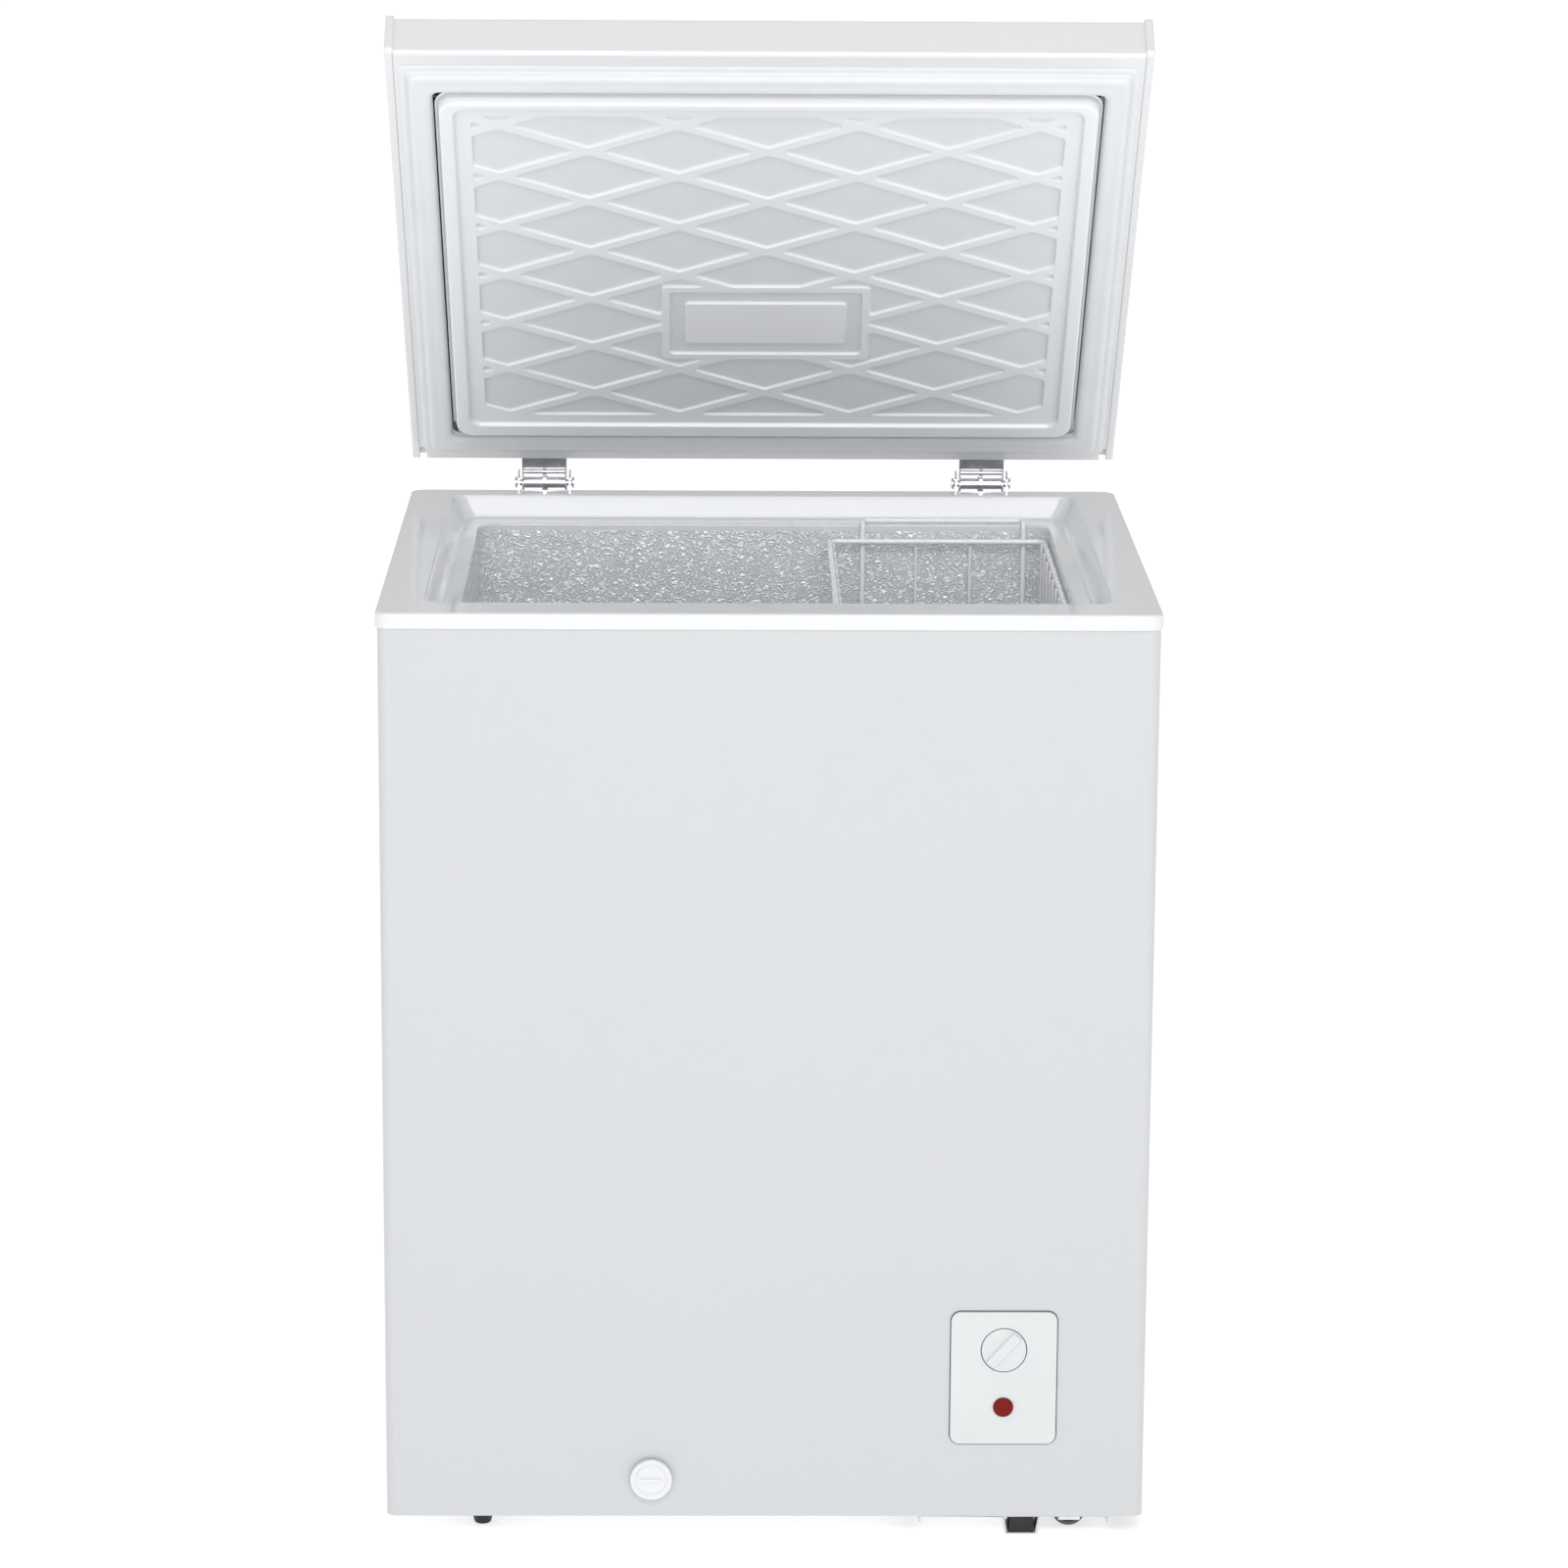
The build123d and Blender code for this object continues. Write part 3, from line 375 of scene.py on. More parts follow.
# %% Shaping tools
PIVOT, OPEN_ANGLE = Vector((0.0, 0.292, 0.7853)), 48.6
LID_OPEN = (Matrix.Translation(PIVOT) @ Matrix.Rotation(radians(-OPEN_ANGLE), 4, "X")
            @ Matrix.Translation(-PIVOT))
WELD, FLAT_ANGLE = 1e-6, 0.4
EDGE_STEPS, EDGE_ANGLE = 2, 38.0


def rounded(rect, z, r, n=8):
    """Points round a rectangle (x0, x1, y0, y1) with rounded corners, from mm to metres."""
    x0, x1, y0, y1 = rect
    ring = []
    for cx, cy, turn in ((x1 - r, y0 + r, -90), (x1 - r, y1 - r, 0), (x0 + r, y1 - r, 90),
                         (x0 + r, y0 + r, 180)):
        for k in range(n + 1):
            a = radians(turn + 90.0 * k / n)
            ring.append(Vector((cx + r * cos(a), cy + r * sin(a), z)) * MM)
    return ring


def grown(rect, d):
    """A rectangle with every side moved outward by d."""
    return rect[0] - d, rect[1] + d, rect[2] - d, rect[3] + d


def between(a, b, t):
    """A rectangle part of the way from a to b."""
    return tuple(p + (q - p) * t for p, q in zip(a, b))


def tidy(obj, sharp, weld=WELD, flat=False):
    """Weld points, turn faces outward and choose which edges stay crisp."""
    bm = bmesh.new()
    bm.from_mesh(obj.data)
    bmesh.ops.remove_doubles(bm, verts=bm.verts, dist=weld)
    if flat:
        bmesh.ops.dissolve_limit(bm, angle_limit=radians(FLAT_ANGLE), verts=bm.verts,
                                 edges=bm.edges)
    bmesh.ops.recalc_face_normals(bm, faces=bm.faces)
    for face in bm.faces:
        face.smooth = True
    for edge in bm.edges:
        edge.smooth = len(edge.link_faces) == 2 and edge.calc_face_angle(0.0) < radians(sharp)
    bm.to_mesh(obj.data)
    bm.free()
    return obj


def new_piece(name, points, faces, sharp):
    """A welded and shaded object from points in metres."""
    mesh = bpy.data.meshes.new(name)
    mesh.from_pydata([tuple(p) for p in points], [], faces)
    obj = bpy.data.objects.new(name, mesh)
    bpy.context.scene.collection.objects.link(obj)
    return tidy(obj, sharp)


def loft(rings, closed=False, start_cap=False, end_cap=False):
    """Points and faces of a skin stretched over rings."""
    n, rows = len(rings[0]), len(rings)
    faces = []
    for a in range(rows if closed else rows - 1):
        here, above = a * n, (a + 1) % rows * n
        faces += [(here + k, here + (k + 1) % n, above + (k + 1) % n, above + k) for k in range(n)]
    if start_cap:
        faces.append(tuple(range(n)))
    if end_cap:
        faces.append(tuple(range((rows - 1) * n, rows * n)))
    return [p for ring in rings for p in ring], faces


def open_lid(obj):
    """Turn a piece drawn on the closed lid to where the lid stands."""
    obj.data.transform(LID_OPEN)
    return obj


def crisp(obj):
    """Let the large flat faces decide the shading, so that rounded edges look clean."""
    obj.modifiers.new("clean_shading", "WEIGHTED_NORMAL").keep_sharp = True
    return obj


def dress(obj, *nodes):
    """Give a piece the finish and body of the nodes it stands for."""
    first = frame["nodes"][nodes[0]]
    obj.data.materials.clear()
    obj.data.materials.append(FINISH[slots[nodes[0]]])
    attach(obj, first["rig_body"])
    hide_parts(*nodes)
    DONE.update(nodes)
    return obj


def refined(node, edge):
    """A welded copy of a CAD node with its edges broken, as tools and moulds leave them."""
    mesh = frame["nodes"][node].data.copy()
    obj = bpy.data.objects.new(node + "_finished", mesh)
    bpy.context.scene.collection.objects.link(obj)
    tidy(obj, EDGE_ANGLE, 2 * WELD, flat=True)
    if edge:
        mod = obj.modifiers.new("broken_edges", "BEVEL")
        mod.width, mod.segments, mod.limit_method = edge * MM, EDGE_STEPS, "ANGLE"
        mod.angle_limit, mod.miter_outer = radians(EDGE_ANGLE), "MITER_ARC"
    crisp(obj)
    return dress(obj, node)


DONE = set()
print("ring of", len(rounded((-1, 1, -1, 1), 0, 0.2)), "points")

# %% [markdown]
# ## The plastic collar
# The collar caps the cabinet's walls. Its skirt hangs over the outside of the steel, its top
# rolls into the mouth, the mouth tapers down to a flat ledge that carries the basket, and the
# last step drops into the tank. One closed loft runs over all of it and back underneath.

# %% Collar
CABINET = (-314.0, 314.0, -268.0, 268.0)
OUTER = (-316.0, 316.0, -270.0, 270.0)
MOUTH = (-277.5, 277.5, -226.0, 243.5)
LEDGE = (-268.0, 268.0, -222.0, 239.5)
TANK = (-253.0, 253.0, -207.0, 212.0)
TOP_Z, LEDGE_Z, LIP_Z = 783, 763, 757


def make_collar():
    rows = [(grown(OUTER, -0.35), 769.98, 11.7), (OUTER, 770.5, 12), (OUTER, 776, 12),
            (OUTER, 780.4, 12)]
    for a in (20, 40, 60, 80):
        inward, rise = 2.6 * (1 - cos(radians(a))), 2.6 * sin(radians(a))
        rows.append((grown(OUTER, -inward), 780.4 + rise, 12 - 0.02 * a))
    rows += [(grown(OUTER, -3.2), TOP_Z, 9.6), (grown(MOUTH, 2.4), TOP_Z, 14.4)]
    for a in (15, 35, 55, 78):
        outward, drop = 1.7 * (1 - sin(radians(a))), 1.7 * (1 - cos(radians(a)))
        rows.append((grown(MOUTH, outward), TOP_Z - drop, 13))
    for t in (0.12, 0.5, 0.9):
        rows.append((between(MOUTH, LEDGE, t), TOP_Z - (TOP_Z - LEDGE_Z) * t, 12))
    rows += [(grown(LEDGE, -0.3), 763.7, 11.8), (grown(LEDGE, -1.0), 763.15, 11.4),
             (grown(LEDGE, -2.0), 763.0, 11), (grown(TANK, 2.4), 763.0, 24.4)]
    for a in (20, 45, 70, 90):
        outward, drop = 1.6 * (1 - sin(radians(a))), 1.6 * (1 - cos(radians(a)))
        rows.append((grown(TANK, outward), LEDGE_Z - drop, 23))
    rows += [(TANK, LIP_Z, 22), (grown(TANK, 2.5), LIP_Z, 24.5), (grown(TANK, 2.5), 761, 24.5),
             (grown(LEDGE, 2.5), 761, 14.5), (grown(MOUTH, 2.5), 780.5, 14.5),
             (grown(CABINET, 0.05), 780.5, 8), (grown(CABINET, 0.05), 770, 8)]
    rings = [rounded(rect, z, r, 10) for rect, z, r in rows]
    return crisp(new_piece("collar", *loft(rings, closed=True), sharp=40))


collar = dress(make_collar(), "collar_frame")
print("collar faces", len(collar.data.polygons))

# %% [markdown]
# ## The lid seal
# The seal is a soft hoop of vinyl. From outside to inside it has a thin flap that lies on the
# frame, a narrow bellows, and a wide flat-faced tube with the magnet in it. The cross-section is
# a list of steps across the hoop and heights above the lid's lower face.

# %% Lid seal
SEAL_OUT, SEAL_IN = (-299.0, 299.0, -247.5, 248.0), (-277.5, 277.5, -225.0, 227.0)
LID_FACE, SEAL_WIDTH = 791, 22.5


def make_seal():
    across = [(-5.4, 0.06), (-5.6, 0.5), (-5.0, 0.95), (-3.4, 1.25), (-1.2, 1.35), (-0.2, 1.15),
              (0.3, 0.75), (0.9, 0.7), (1.5, 1.3), (1.8, 2.6), (2.0, 4.4), (2.5, 6.0), (3.6, 7.1),
              (5.2, 7.5), (7.0, 7.6), (9.2, 7.42), (11.0, 7.34), (12.8, 7.42), (15.0, 7.6),
              (17.2, 7.55), (19.2, 7.2), (20.6, 6.4), (21.4, 5.2), (21.7, 3.8), (21.3, 2.5),
              (21.5, 1.6), (22.3, 1.0), (22.5, 0.4), (22.2, 0.06)]
    rings = []
    for step, height in across:
        t = step / SEAL_WIDTH
        rings.append(rounded(between(SEAL_OUT, SEAL_IN, t), LID_FACE - height, 6 + 2 * t, 5))
    return open_lid(new_piece("lid_seal", *loft(rings, closed=True), sharp=50))


seal = dress(make_seal(), "lid_gasket")
print("seal faces", len(seal.data.polygons))

# %% [markdown]
# ## The inner lid panel
# This panel is formed from one plastic sheet. Straight ribs cross each other at a shallow slope and
# leave shallow diamond cells between them, with one plain plate in the middle. The script draws
# the lattice, cuts it at the plate and at the border, and reads back the outline of every cell.
# Each outline gets rounded corners, and its wall is a small loft going down into the sheet. The
# sheet between the cells is filled with a triangulation that leaves the cells open.

# %% Cells of the panel
FIELD = (-247.0, 247.0, -200.0, 192.0)
PLATE = (-89.0, 89.0, 17.5, 113.5)
HALF_X, HALF_Y, RIB, FIRST_Y = 75.0, 31.7, 7.0, 160.3
SMALLEST_CELL = 60


def flat_ring(rect, r):
    """A rounded rectangle as plane points in mm."""
    return [Vector((p.x, p.y)) / MM for p in rounded(rect, 0, r)]


def corners(rect):
    x0, x1, y0, y1 = rect
    return [Vector(c) for c in ((x0, y0), (x1, y0), (x1, y1), (x0, y1))]


def inside(point, outline):
    """True where a point lies in a closed outline."""
    found, j = False, len(outline) - 1
    for i, a in enumerate(outline):
        b = outline[j]
        if (a.y > point.y) != (b.y > point.y):
            crossing = (b.x - a.x) * (point.y - a.y) / (b.y - a.y) + a.x
            if point.x < crossing:
                found = not found
        j = i
    return found


def triangulated(outlines):
    """Points and triangles of a plane cut along every outline."""
    points, edges = [], []
    for outline in outlines:
        base, n = len(points), len(outline)
        points += outline
        edges += [(base + k, base + (k + 1) % n) for k in range(n)]
    out = delaunay_2d_cdt(points, edges, [], 0, 1e-4)
    return out[0], [tuple(f) for f in out[2]]


def centre(points, face):
    return (points[face[0]] + points[face[1]] + points[face[2]]) / 3


def area(outline):
    """Positive for an outline that runs anticlockwise."""
    return sum(a.x * b.y - b.x * a.y for a, b in zip(outline, outline[1:] + outline[:1])) / 2


def loops(points, faces):
    """Outer outlines of patches of triangles, corners only."""
    free = {}
    for face in faces:
        for side in zip(face, face[1:] + face[:1]):
            free[side] = True
    onward = {a: b for a, b in free if (b, a) not in free}
    found = []
    while onward:
        start, chain = next(iter(onward)), []
        while start in onward:
            chain.append(start)
            start = onward.pop(start)
        path, keep = [points[i] for i in chain], []
        for k, p in enumerate(path):
            before, after = p - path[k - 1], path[(k + 1) % len(path)] - p
            if abs(before.normalized().cross(after.normalized())) > 1e-3:
                keep.append(p)
        if len(keep) > 2 and abs(area(keep)) > SMALLEST_CELL:
            found.append(keep if area(keep) > 0 else keep[::-1])
    return found


def softened(outline, r, steps=4):
    """Round every corner of an outline."""
    made, n = [], len(outline)
    for k, p in enumerate(outline):
        a, b = outline[k - 1] - p, outline[(k + 1) % n] - p
        half = max(0.05, abs(a.angle(b)) / 2)
        cut = min(r / tan(half), 0.45 * a.length, 0.45 * b.length)
        u, v = p + a.normalized() * cut, p + b.normalized() * cut
        for s in range(steps + 1):
            t = s / steps
            made.append(u * (1 - t) ** 2 + p * 2 * t * (1 - t) + v * t ** 2)
    return made


def shrunk(outline, d):
    """Move every side of a sharp outline inward by d."""
    made, n = [], len(outline)
    for k, p in enumerate(outline):
        a = (p - outline[k - 1]).normalized()
        b = (outline[(k + 1) % n] - p).normalized()
        side = Vector((-a.y - b.y, a.x + b.x))
        made.append(p + side * (2 * d / side.length_squared))
    return made


def cell_ring(outline, d):
    """The ring of a cell's wall where it has moved inward by d."""
    return softened(shrunk(outline, d), max(1.2, 4.2 - 0.6 * d))


def find_cells():
    keep = 1 - (RIB / 2) * hypot(HALF_X, HALF_Y) / (HALF_X * HALF_Y)
    wide, tall = HALF_X * keep, HALF_Y * keep
    centres = [(2 * HALF_X * m + HALF_X * (s % 2), FIRST_Y - HALF_Y * (s - 1))
               for m in range(-3, 4) for s in range(0, 15)]
    centres = [c for c in centres if abs(c[0]) < 330 and -240 < c[1] < 235]
    diamonds = [[Vector((x + wide, y)), Vector((x, y + tall)), Vector((x - wide, y)),
                 Vector((x, y - tall))] for x, y in centres]
    border, plate = corners(FIELD), corners(PLATE)
    points, faces = triangulated([border, plate] + diamonds)
    found = []
    for face in faces:
        at = centre(points, face)
        if inside(at, border) and not inside(at, plate) and any(
                abs(at.x - x) / wide + abs(at.y - y) / tall < 1 for x, y in centres):
            found.append(face)
    return loops(points, found)


cells = find_cells()
print("cells", len(cells), "smallest", round(min(area(c) for c in cells)), "mm2")

# %% Panel with its cells and plate
PLUG_TOP, PLUG_LOW = (-274.0, 274.0, -220.5, 219.5), (-272.5, 272.5, -219.0, 218.0)
EDGE = (-249.0, 249.0, -202.0, 194.0)
SHEET_EDGE = (-298.8, 298.8, -245.8, 249.8)
MOAT, BLOCK = (-84.0, 84.0, 23.5, 107.5), (-69.0, 69.0, 39.5, 91.5)
SHELF, RECESS = 783.0, (-260.5, 260.5, -211.0, 203.0)
WALL = [(0.0, 0.0), (0.3, 0.12), (0.55, 0.5), (0.8, 1.5), (1.05, 2.1), (1.5, 2.42), (2.3, 2.5)]


def lift(outline, z):
    """Plane points as points in metres at height z."""
    return [Vector((p.x, p.y, z)) * MM for p in outline]


def make_lid_panel():
    rows = [(grown(PLUG_TOP, -4), 787.9, 10), (grown(PLUG_TOP, -4), 792.4, 10),
            (SHEET_EDGE, 792.4, 2), (SHEET_EDGE, 791.0, 2),
            (grown(PLUG_TOP, 2.2), 791.0, 16), (grown(PLUG_TOP, 0.9), 790.8, 15),
            (grown(PLUG_TOP, 0.15), 790.0, 14.2), (between(PLUG_TOP, PLUG_LOW, 0.8), 781.2, 14),
            (grown(PLUG_LOW, -0.3), 780.1, 13.8), (grown(PLUG_LOW, -0.9), 779.35, 13.3),
            (grown(PLUG_LOW, -1.9), 779.0, 12.6), (grown(RECESS, 1.8), 779.0, 11.6),
            (grown(RECESS, 0.8), 779.2, 10.8), (grown(RECESS, 0.15), 779.9, 10.1),
            (grown(RECESS, -0.4), 782.1, 9.7), (grown(RECESS, -1.0), 782.8, 9.3),
            (grown(RECESS, -2.2), SHELF, 9.0), (EDGE, SHELF, 8)]
    points, faces = loft([rounded(rect, z, r) for rect, z, r in rows], start_cap=True)

    def add(part):
        base = len(points)
        points.extend(part[0])
        faces.extend(tuple(base + k for k in face) for face in part[1])

    border, hole = flat_ring(EDGE, 8), flat_ring(MOAT, 5)
    openings = [hole] + [cell_ring(cell, 0.0) for cell in cells]
    flat, tris = triangulated([border] + openings)
    shelf = []
    for face in tris:
        at = centre(flat, face)
        if inside(at, border) and not any(inside(at, ring) for ring in openings):
            shelf.append(face)
    add((lift(flat, SHELF), shelf))
    for cell in cells:
        room = 0.42 * min((p - cell[k - 1]).length for k, p in enumerate(cell))
        fit = min(1.0, room / WALL[-1][0])
        add(loft([lift(cell_ring(cell, d * fit), SHELF + h) for d, h in WALL], end_cap=True))
    down = [lift(flat_ring(grown(MOAT, -d), max(1.5, 5 - d)), SHELF + h) for d, h in WALL]
    up = [lift(flat_ring(grown(BLOCK, d), 3 + d), SHELF + h) for d, h in reversed(WALL)]
    add(loft(down + up, end_cap=True))
    panel = new_piece("lid_inner_panel", points, faces, sharp=50)
    # relief runs from 0 on the shelf to 1 on the cell floors; the finish uses it for rougher cells
    # and for painted shade on the cell floors.
    relief = panel.data.attributes.new("relief", "FLOAT", "POINT")
    for k, v in enumerate(panel.data.vertices):
        depth = v.co.z / MM - SHELF
        relief.data[k].value = min(1.0, max(0.0, (depth - 0.3) / 1.9)) if -0.1 < depth < 3 else 0.0
    return open_lid(crisp(panel))


lid_panel = dress(make_lid_panel(), "lid_liner")
print("lid panel faces", len(lid_panel.data.polygons))

# %% [markdown]
# ## Wires by rule
# The basket is bent wire. Each wire is drawn as a few straight runs, and a Geometry Nodes tree
# does the rest: it rounds the bends, sweeps a round section along the line and joins the result.
# The tree has named inputs for the wire's radius, the bend and the finish, so one tree serves
# all the wires. Its result is turned into a plain mesh at the end.

# %% Wire tree
def tree_input(tree, name, kind, value=None):
    """A named input socket, with its starting value where one is given."""
    socket = tree.interface.new_socket(name, in_out="INPUT", socket_type=kind)
    if value is not None:
        socket.default_value = value
    return socket


def end_tree(tree, enter, result):
    """End a tree in realised geometry that wears the tree's own Finish input."""
    real = tree.nodes.new("GeometryNodeRealizeInstances")
    paint = tree.nodes.new("GeometryNodeSetMaterial")
    out = tree.nodes.new("NodeGroupOutput")
    tree.links.new(result, real.inputs[0])
    tree.links.new(real.outputs[0], paint.inputs["Geometry"])
    tree.links.new(enter.outputs["Finish"], paint.inputs["Material"])
    tree.links.new(paint.outputs[0], out.inputs[0])


def build_wire_tree():
    tree = bpy.data.node_groups.new("bent_wire", "GeometryNodeTree")
    tree.interface.new_socket("Geometry", in_out="INPUT", socket_type="NodeSocketGeometry")
    tree_input(tree, "Wire Radius", "NodeSocketFloat", 0.001)
    tree_input(tree, "Bend Radius", "NodeSocketFloat", 0.008)
    tree_input(tree, "Finish", "NodeSocketMaterial")
    tree.interface.new_socket("Geometry", in_out="OUTPUT", socket_type="NodeSocketGeometry")
    enter = tree.nodes.new("NodeGroupInput")
    line = tree.nodes.new("GeometryNodeMeshToCurve")
    bend = tree.nodes.new("GeometryNodeFilletCurve")
    bend.mode = "POLY"
    bend.inputs["Count"].default_value = 6
    section = tree.nodes.new("GeometryNodeCurvePrimitiveCircle")
    section.inputs["Resolution"].default_value = 12
    sweep = tree.nodes.new("GeometryNodeCurveToMesh")
    sweep.inputs["Fill Caps"].default_value = True
    smooth = tree.nodes.new("GeometryNodeSetShadeSmooth")
    tree.links.new(enter.outputs["Geometry"], line.inputs["Mesh"])
    tree.links.new(line.outputs[0], bend.inputs["Curve"])
    tree.links.new(enter.outputs["Bend Radius"], bend.inputs["Radius"])
    tree.links.new(enter.outputs["Wire Radius"], section.inputs["Radius"])
    tree.links.new(bend.outputs[0], sweep.inputs["Curve"])
    tree.links.new(section.outputs["Curve"], sweep.inputs["Profile Curve"])
    tree.links.new(sweep.outputs[0], smooth.inputs["Geometry"])
    end_tree(tree, enter, smooth.outputs[0])
    return tree


def solved(obj, tree, **values):
    """Run a tree on an object and keep the result as a plain mesh."""
    mod = obj.modifiers.new("rule", "NODES")
    mod.node_group = tree
    for socket in tree.interface.items_tree:
        if socket.item_type == "SOCKET" and socket.in_out == "INPUT":
            key = socket.name.lower().replace(" ", "_")
            if key in values:
                mod[socket.identifier] = values[key]
    bpy.context.view_layer.update()
    graph = bpy.context.evaluated_depsgraph_get()
    mesh = bpy.data.meshes.new_from_object(obj.evaluated_get(graph), depsgraph=graph)
    obj.modifiers.remove(mod)
    obj.data = mesh
    return obj


def wires(name, paths, radius, bend, node, closed=False):
    """Bent wires through lists of points in mm."""
    points, edges = [], []
    for path in paths:
        base, n = len(points), len(path)
        points += [tuple(v * MM for v in p) for p in path]
        edges += [(base + k, base + (k + 1) % n) for k in range(n if closed else n - 1)]
    mesh = bpy.data.meshes.new(name + "_line")
    mesh.from_pydata(points, edges, [])
    obj = bpy.data.objects.new(name, mesh)
    bpy.context.scene.collection.objects.link(obj)
    solved(obj, WIRE_TREE, wire_radius=radius * MM, bend_radius=bend * MM,
           finish=FINISH[slots[node]])
    return dress(tidy(obj, 60), node)


WIRE_TREE = build_wire_tree()
print("tree inputs", [s.name for s in WIRE_TREE.interface.items_tree if s.in_out == "INPUT"])

# %% [markdown]
# ## The hanging basket
# A thick wire makes the top rim. One long closed wire hangs on the ledges at the front and back
# and runs under the basket as its two runners. Thinner wires make the walls and floor, and one
# belt goes round at half height.

# %% Basket
def make_basket():
    """Centre lines of every wire; rim, leg and thin are the wires' radii."""
    x0, x1, y0, y1 = 58, 249.5, -195, 200
    top, low = 750, 562
    rim, leg, thin, gap = 2.5, 2.2, 1.25, 0.03
    made = [wires("basket_rim_wire", [[(x0, y0, top), (x1, y0, top), (x1, y1, top), (x0, y1, top)]],
                  rim, 9, "basket_rim", True)]
    out = rim + leg + gap
    a, b, up = y0 - out, y1 + out, 763.4 + leg
    left, right, back, front = 88, 231, 218, -213.5
    made.append(wires("basket_hanging_wire", [[
        (right, b, low), (right, b, up), (right, back, up), (left, back, up), (left, b, up),
        (left, b, low), (left, a, low), (left, a, up), (left, front, up), (right, front, up),
        (right, a, up), (right, a, low)]], leg, 5, "basket_hanger", True))
    out = rim + thin + gap
    a, b = y0 - out, y1 + out
    paths = [[(x, b, top + 2), (x, b, low), (x, a, low), (x, a, top + 2)] for x in (135.5, 183.5)]
    made.append(wires("basket_lengthwise_wires", paths, thin, 8, "basket_long_wires"))
    a, b, z = x0 + out, x1 - out, low + leg + thin + gap
    paths = [[(a, y, top + 2), (a, y, z), (b, y, z), (b, y, top + 2)]
             for y in [-172 + 38.8 * i for i in range(10)]]
    made.append(wires("basket_crosswise_wires", paths, thin, 8, "basket_cross_wires"))
    a, b, c, d, z = x0 + 1, x1 - 1, y0 - 1, y1 + 1, 655
    made.append(wires("basket_belt_wire", [[(a, c, z), (b, c, z), (b, d, z), (a, d, z)]],
                      1.5, 9, "basket_belt", True))
    return made


print("basket faces", sum(len(wire.data.polygons) for wire in make_basket()))

# %% [markdown]
# ## Louvres on the rear cover
# The cover's slots let warm air out of the machine bay. Pressed hoods stand over them, so that
# water can't run in. One hood is a short curved blade. A tree puts a copy of it at each point of
# two columns, joins them, and the hoods become one mesh.

# %% Louvres
HOOD_HALF, HOOD_DEPTH, HOOD_TALL, HOOD_DROP = 37.5, 3.0, 6.4, 3.4
HOOD_SHEET, COVER_FACE = 0.8, 1.15


def hood_blade():
    """A pressed hood over one slot: a quarter-round blade with rounded ends."""
    rows = []
    for k in range(9):
        a = radians(90.0 * k / 8)
        rows.append((HOOD_DEPTH * sin(a), HOOD_TALL - HOOD_DROP * (1 - cos(a))))
    rings, steps, under = [], 12, HOOD_TALL - 0.2
    for s in range(steps + 1):
        t = -1 + 2 * s / steps
        grow = (1 - abs(t) ** 6) ** 0.5
        ring = [(t * HOOD_HALF, COVER_FACE + depth * grow + 0.05,
                 HOOD_TALL - (HOOD_TALL - z) * grow) for depth, z in rows]
        ring += [(t * HOOD_HALF, COVER_FACE + max(0.0, depth - HOOD_SHEET) * grow,
                  under - (under - z) * grow) for depth, z in reversed(rows)]
        rings.append([Vector(p) * MM for p in ring])
    mesh = bpy.data.meshes.new("hood_blade")
    points, faces = loft(rings, start_cap=True, end_cap=True)
    mesh.from_pydata([tuple(p) for p in points], [], faces)
    obj = bpy.data.objects.new("hood_blade", mesh)
    bpy.context.scene.collection.objects.link(obj)
    return tidy(obj, 40)


def build_copy_tree():
    tree = bpy.data.node_groups.new("copies_on_points", "GeometryNodeTree")
    tree.interface.new_socket("Geometry", in_out="INPUT", socket_type="NodeSocketGeometry")
    tree_input(tree, "Piece", "NodeSocketObject")
    tree_input(tree, "Finish", "NodeSocketMaterial")
    tree.interface.new_socket("Geometry", in_out="OUTPUT", socket_type="NodeSocketGeometry")
    enter = tree.nodes.new("NodeGroupInput")
    info = tree.nodes.new("GeometryNodeObjectInfo")
    spread = tree.nodes.new("GeometryNodeInstanceOnPoints")
    tree.links.new(enter.outputs["Piece"], info.inputs["Object"])
    tree.links.new(enter.outputs["Geometry"], spread.inputs["Points"])
    tree.links.new(info.outputs["Geometry"], spread.inputs["Instance"])
    end_tree(tree, enter, spread.outputs[0])
    return tree


COPY_TREE = build_copy_tree()


def copies(name, hero, spots, finish):
    """One mesh with a copy of the hero at every spot, in mm."""
    mesh = bpy.data.meshes.new(name + "_spots")
    mesh.from_pydata([tuple(v * MM for v in p) for p in spots], [], [])
    obj = bpy.data.objects.new(name, mesh)
    bpy.context.scene.collection.objects.link(obj)
    solved(obj, COPY_TREE, piece=hero, finish=finish)
    bpy.data.objects.remove(hero)
    return tidy(obj, 40)


slits = [(x, 268, z) for x in (168, 256) for z in range(60, 226, 12)]
louvres = copies("louvre_hoods", hood_blade(), slits, FINISH[slots["compressor_cover"]])
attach(louvres, "cabinet")
print("louvre faces", len(louvres.data.polygons))

# %% [markdown]
# ## Hinge springs
# Each hinge pulls its spring rod up against a coil spring. A coil is a curve with a rule: a circle
# that climbs as it turns. The tree makes one coil of the wanted wire, and a second tree puts it
# under both hinges. Most of the last turn at each end lies almost flat, as on a real spring.

# %% Springs
TURNS, COIL_TALL, COIL_RADIUS, FLAT_TURNS, FLAT_RISE = 13.8, 76.4, 6.6, 0.8, 1.5
COIL_WIRE_RADIUS = 0.00095
STEPS = 18


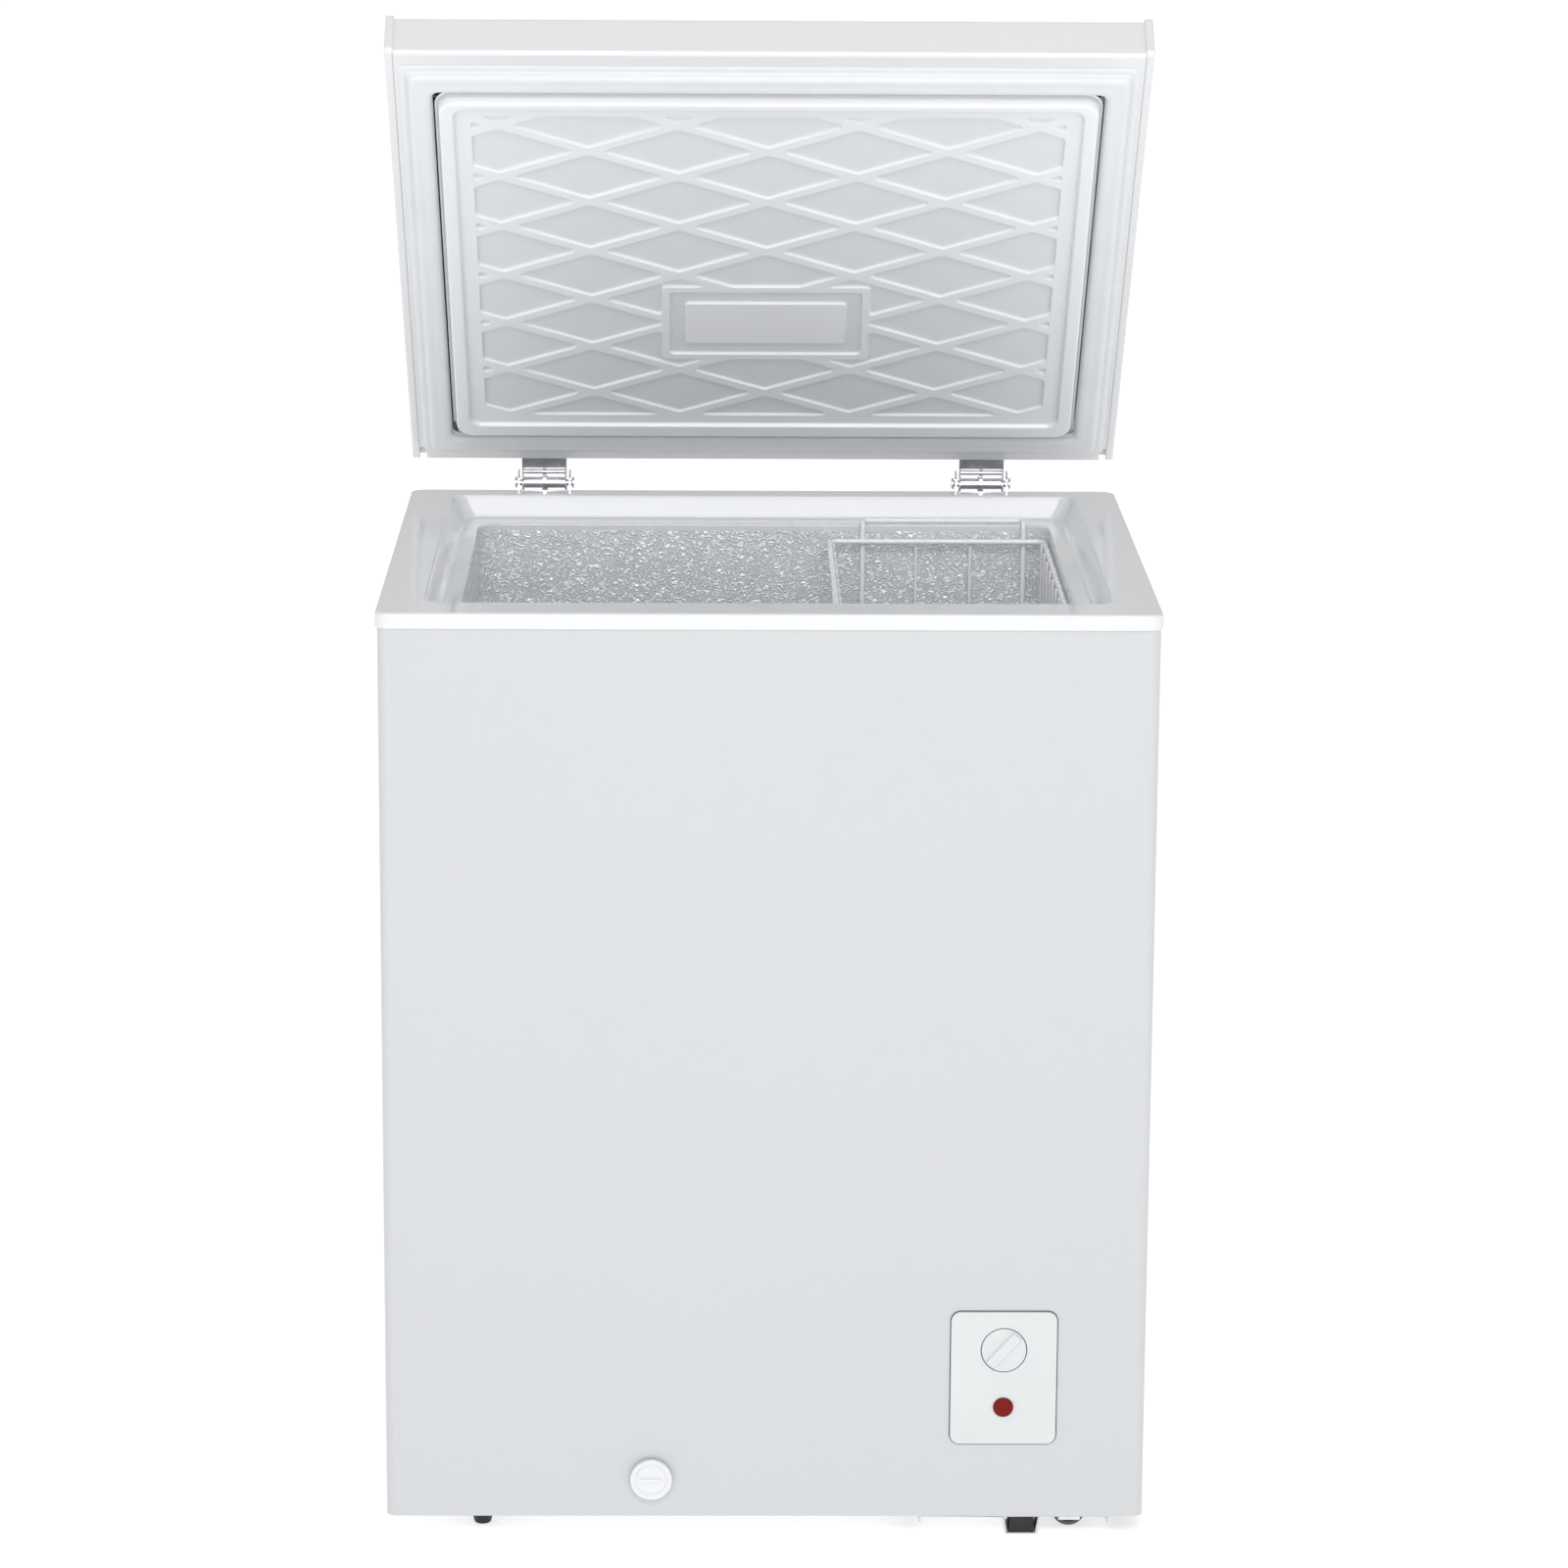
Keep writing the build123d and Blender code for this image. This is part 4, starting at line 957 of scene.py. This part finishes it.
def coil_points():
    """A helix whose first and last turns rise very little."""
    points = []
    for k in range(int(TURNS * STEPS) + 1):
        t = k / STEPS
        rise = min(max(t - FLAT_TURNS, 0.0), TURNS - 2 * FLAT_TURNS) / (TURNS - 2 * FLAT_TURNS)
        z = (FLAT_RISE * min(t, FLAT_TURNS) / FLAT_TURNS + rise * (COIL_TALL - 2 * FLAT_RISE)
             + FLAT_RISE * max(0.0, t - TURNS + FLAT_TURNS) / FLAT_TURNS)
        points.append((COIL_RADIUS * cos(2 * pi * t), COIL_RADIUS * sin(2 * pi * t), z))
    return points


def make_springs():
    mesh = bpy.data.meshes.new("coil_line")
    points = [tuple(v * MM for v in p) for p in coil_points()]
    mesh.from_pydata(points, [(k, k + 1) for k in range(len(points) - 1)], [])
    hero = bpy.data.objects.new("coil_hero", mesh)
    bpy.context.scene.collection.objects.link(hero)
    finish, spots = FINISH["zinc_plate"], [(x, 302.8, 655.3) for x in (-197, 197)]
    solved(hero, WIRE_TREE, wire_radius=COIL_WIRE_RADIUS, bend_radius=0.0, finish=finish)
    return copies("coil_springs", hero, spots, finish)


springs = make_springs()
print("spring faces", len(springs.data.polygons))

# %% [markdown]
# ## The seam round the control panel
# The panel is clipped into a window in the sheet steel. A thin black strip round the window
# paints the shade in the gap; only its edge shows, as the fine dark line round the panel.

# %% Panel seam
WINDOW = (152.75, 240.25, 81.0, 196.0)


def make_seam():
    rows = [(0.05, -267.9), (0.05, -268.55), (0.2, -268.7), (0.55, -268.7), (0.75, -268.5),
            (0.75, -267.9)]
    rings = []
    for grow, depth in rows:
        ring = rounded(grown(WINDOW, grow), 0.0, 8 + grow)
        rings.append([Vector((p.x, depth * MM, p.y)) for p in ring])
    seam = new_piece("panel_seal_strip", *loft(rings, closed=True), sharp=50)
    # The black of this strip is painted shade in the gap round the panel.
    seam.data.materials.append(FINISH["black_plastic"])
    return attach(seam, "cabinet")


print("seam faces", len(make_seam().data.polygons))

# %% [markdown]
# ## The pieces that a press or a mould made
# The rest keep the engineering model's own shape. Each one is welded, its flat faces are joined,
# its edges are broken by the fraction of a millimetre in the list below, and it is given its
# finish. Small bright hardware gets the finest edges, and round tubes get none.

# %% Refined pieces
EDGES = {
    "cabinet_shell": 0.25, "back_panel": 0.2, "bottom_panel": 0.2, "bay_liner": 0.2,
    "inner_liner": 0.5, "base_tray": 0.4, "skid_pad": 1.0, "compressor": 0.6,
    # skid_pad: its black paints the shade inside the hollow of the pressed foot.
    "compressor_grommets": 0.6, "compressor_bolts": 0.3, "relay_cover": 1.2, "filter_drier": 1.0,
    "suction_line": 0.0, "discharge_line": 0.0, "liquid_line": 0.0, "capillary_tube": 0.0,
    "process_tube": 0.3, "compressor_cover": 0.25, "cover_screws": 0.12, "cord_gland": 0.6,
    "control_panel": 0.3, "thermostat_body": 0.8, "lamp_holder": 0.4, "indicator_lens": 0.5,
    "control_knob": 0.35, "thermostat_shaft": 0.3, "drain_tube": 0.3, "drain_spout": 0.3,
    "drain_cap": 0.35, "drain_plug": 0.4, "levelling_feet": 0.8, "roller_front": 0.3,
    "roller_rear": 0.3, "roller_brackets": 0.3, "roller_axles": 0.3, "hinge_bases": 0.3,
    "hinge_base_screws": 0.12, "hinge_pins": 0.5, "hinge_leaves": 0.3, "leaf_screws": 0.12,
    "hinge_tail_pins": 0.4, "spring_rods": 0.3, "lid_frame": 0.9, "lid_side_trims": 1.2,
    "lid_skin": 0.25,
}
for name, edge in EDGES.items():
    refined(name, edge)
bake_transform(springs)
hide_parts("hinge_springs")
print("refined", len(EDGES), "pieces")

# %% [markdown]
# ## What the walls hide
# The foam, the coils in it and the sensing bulb can't be seen from outside. They keep the
# engineering model's mesh and only get their finish, so that an opened or cut model looks right.

# %% Hidden pieces
for name, node in frame["nodes"].items():
    if name not in DONE and name != "hinge_springs":
        node.data.materials.clear()
        node.data.materials.append(FINISH[slots[name]])
        print("kept as modelled:", name)
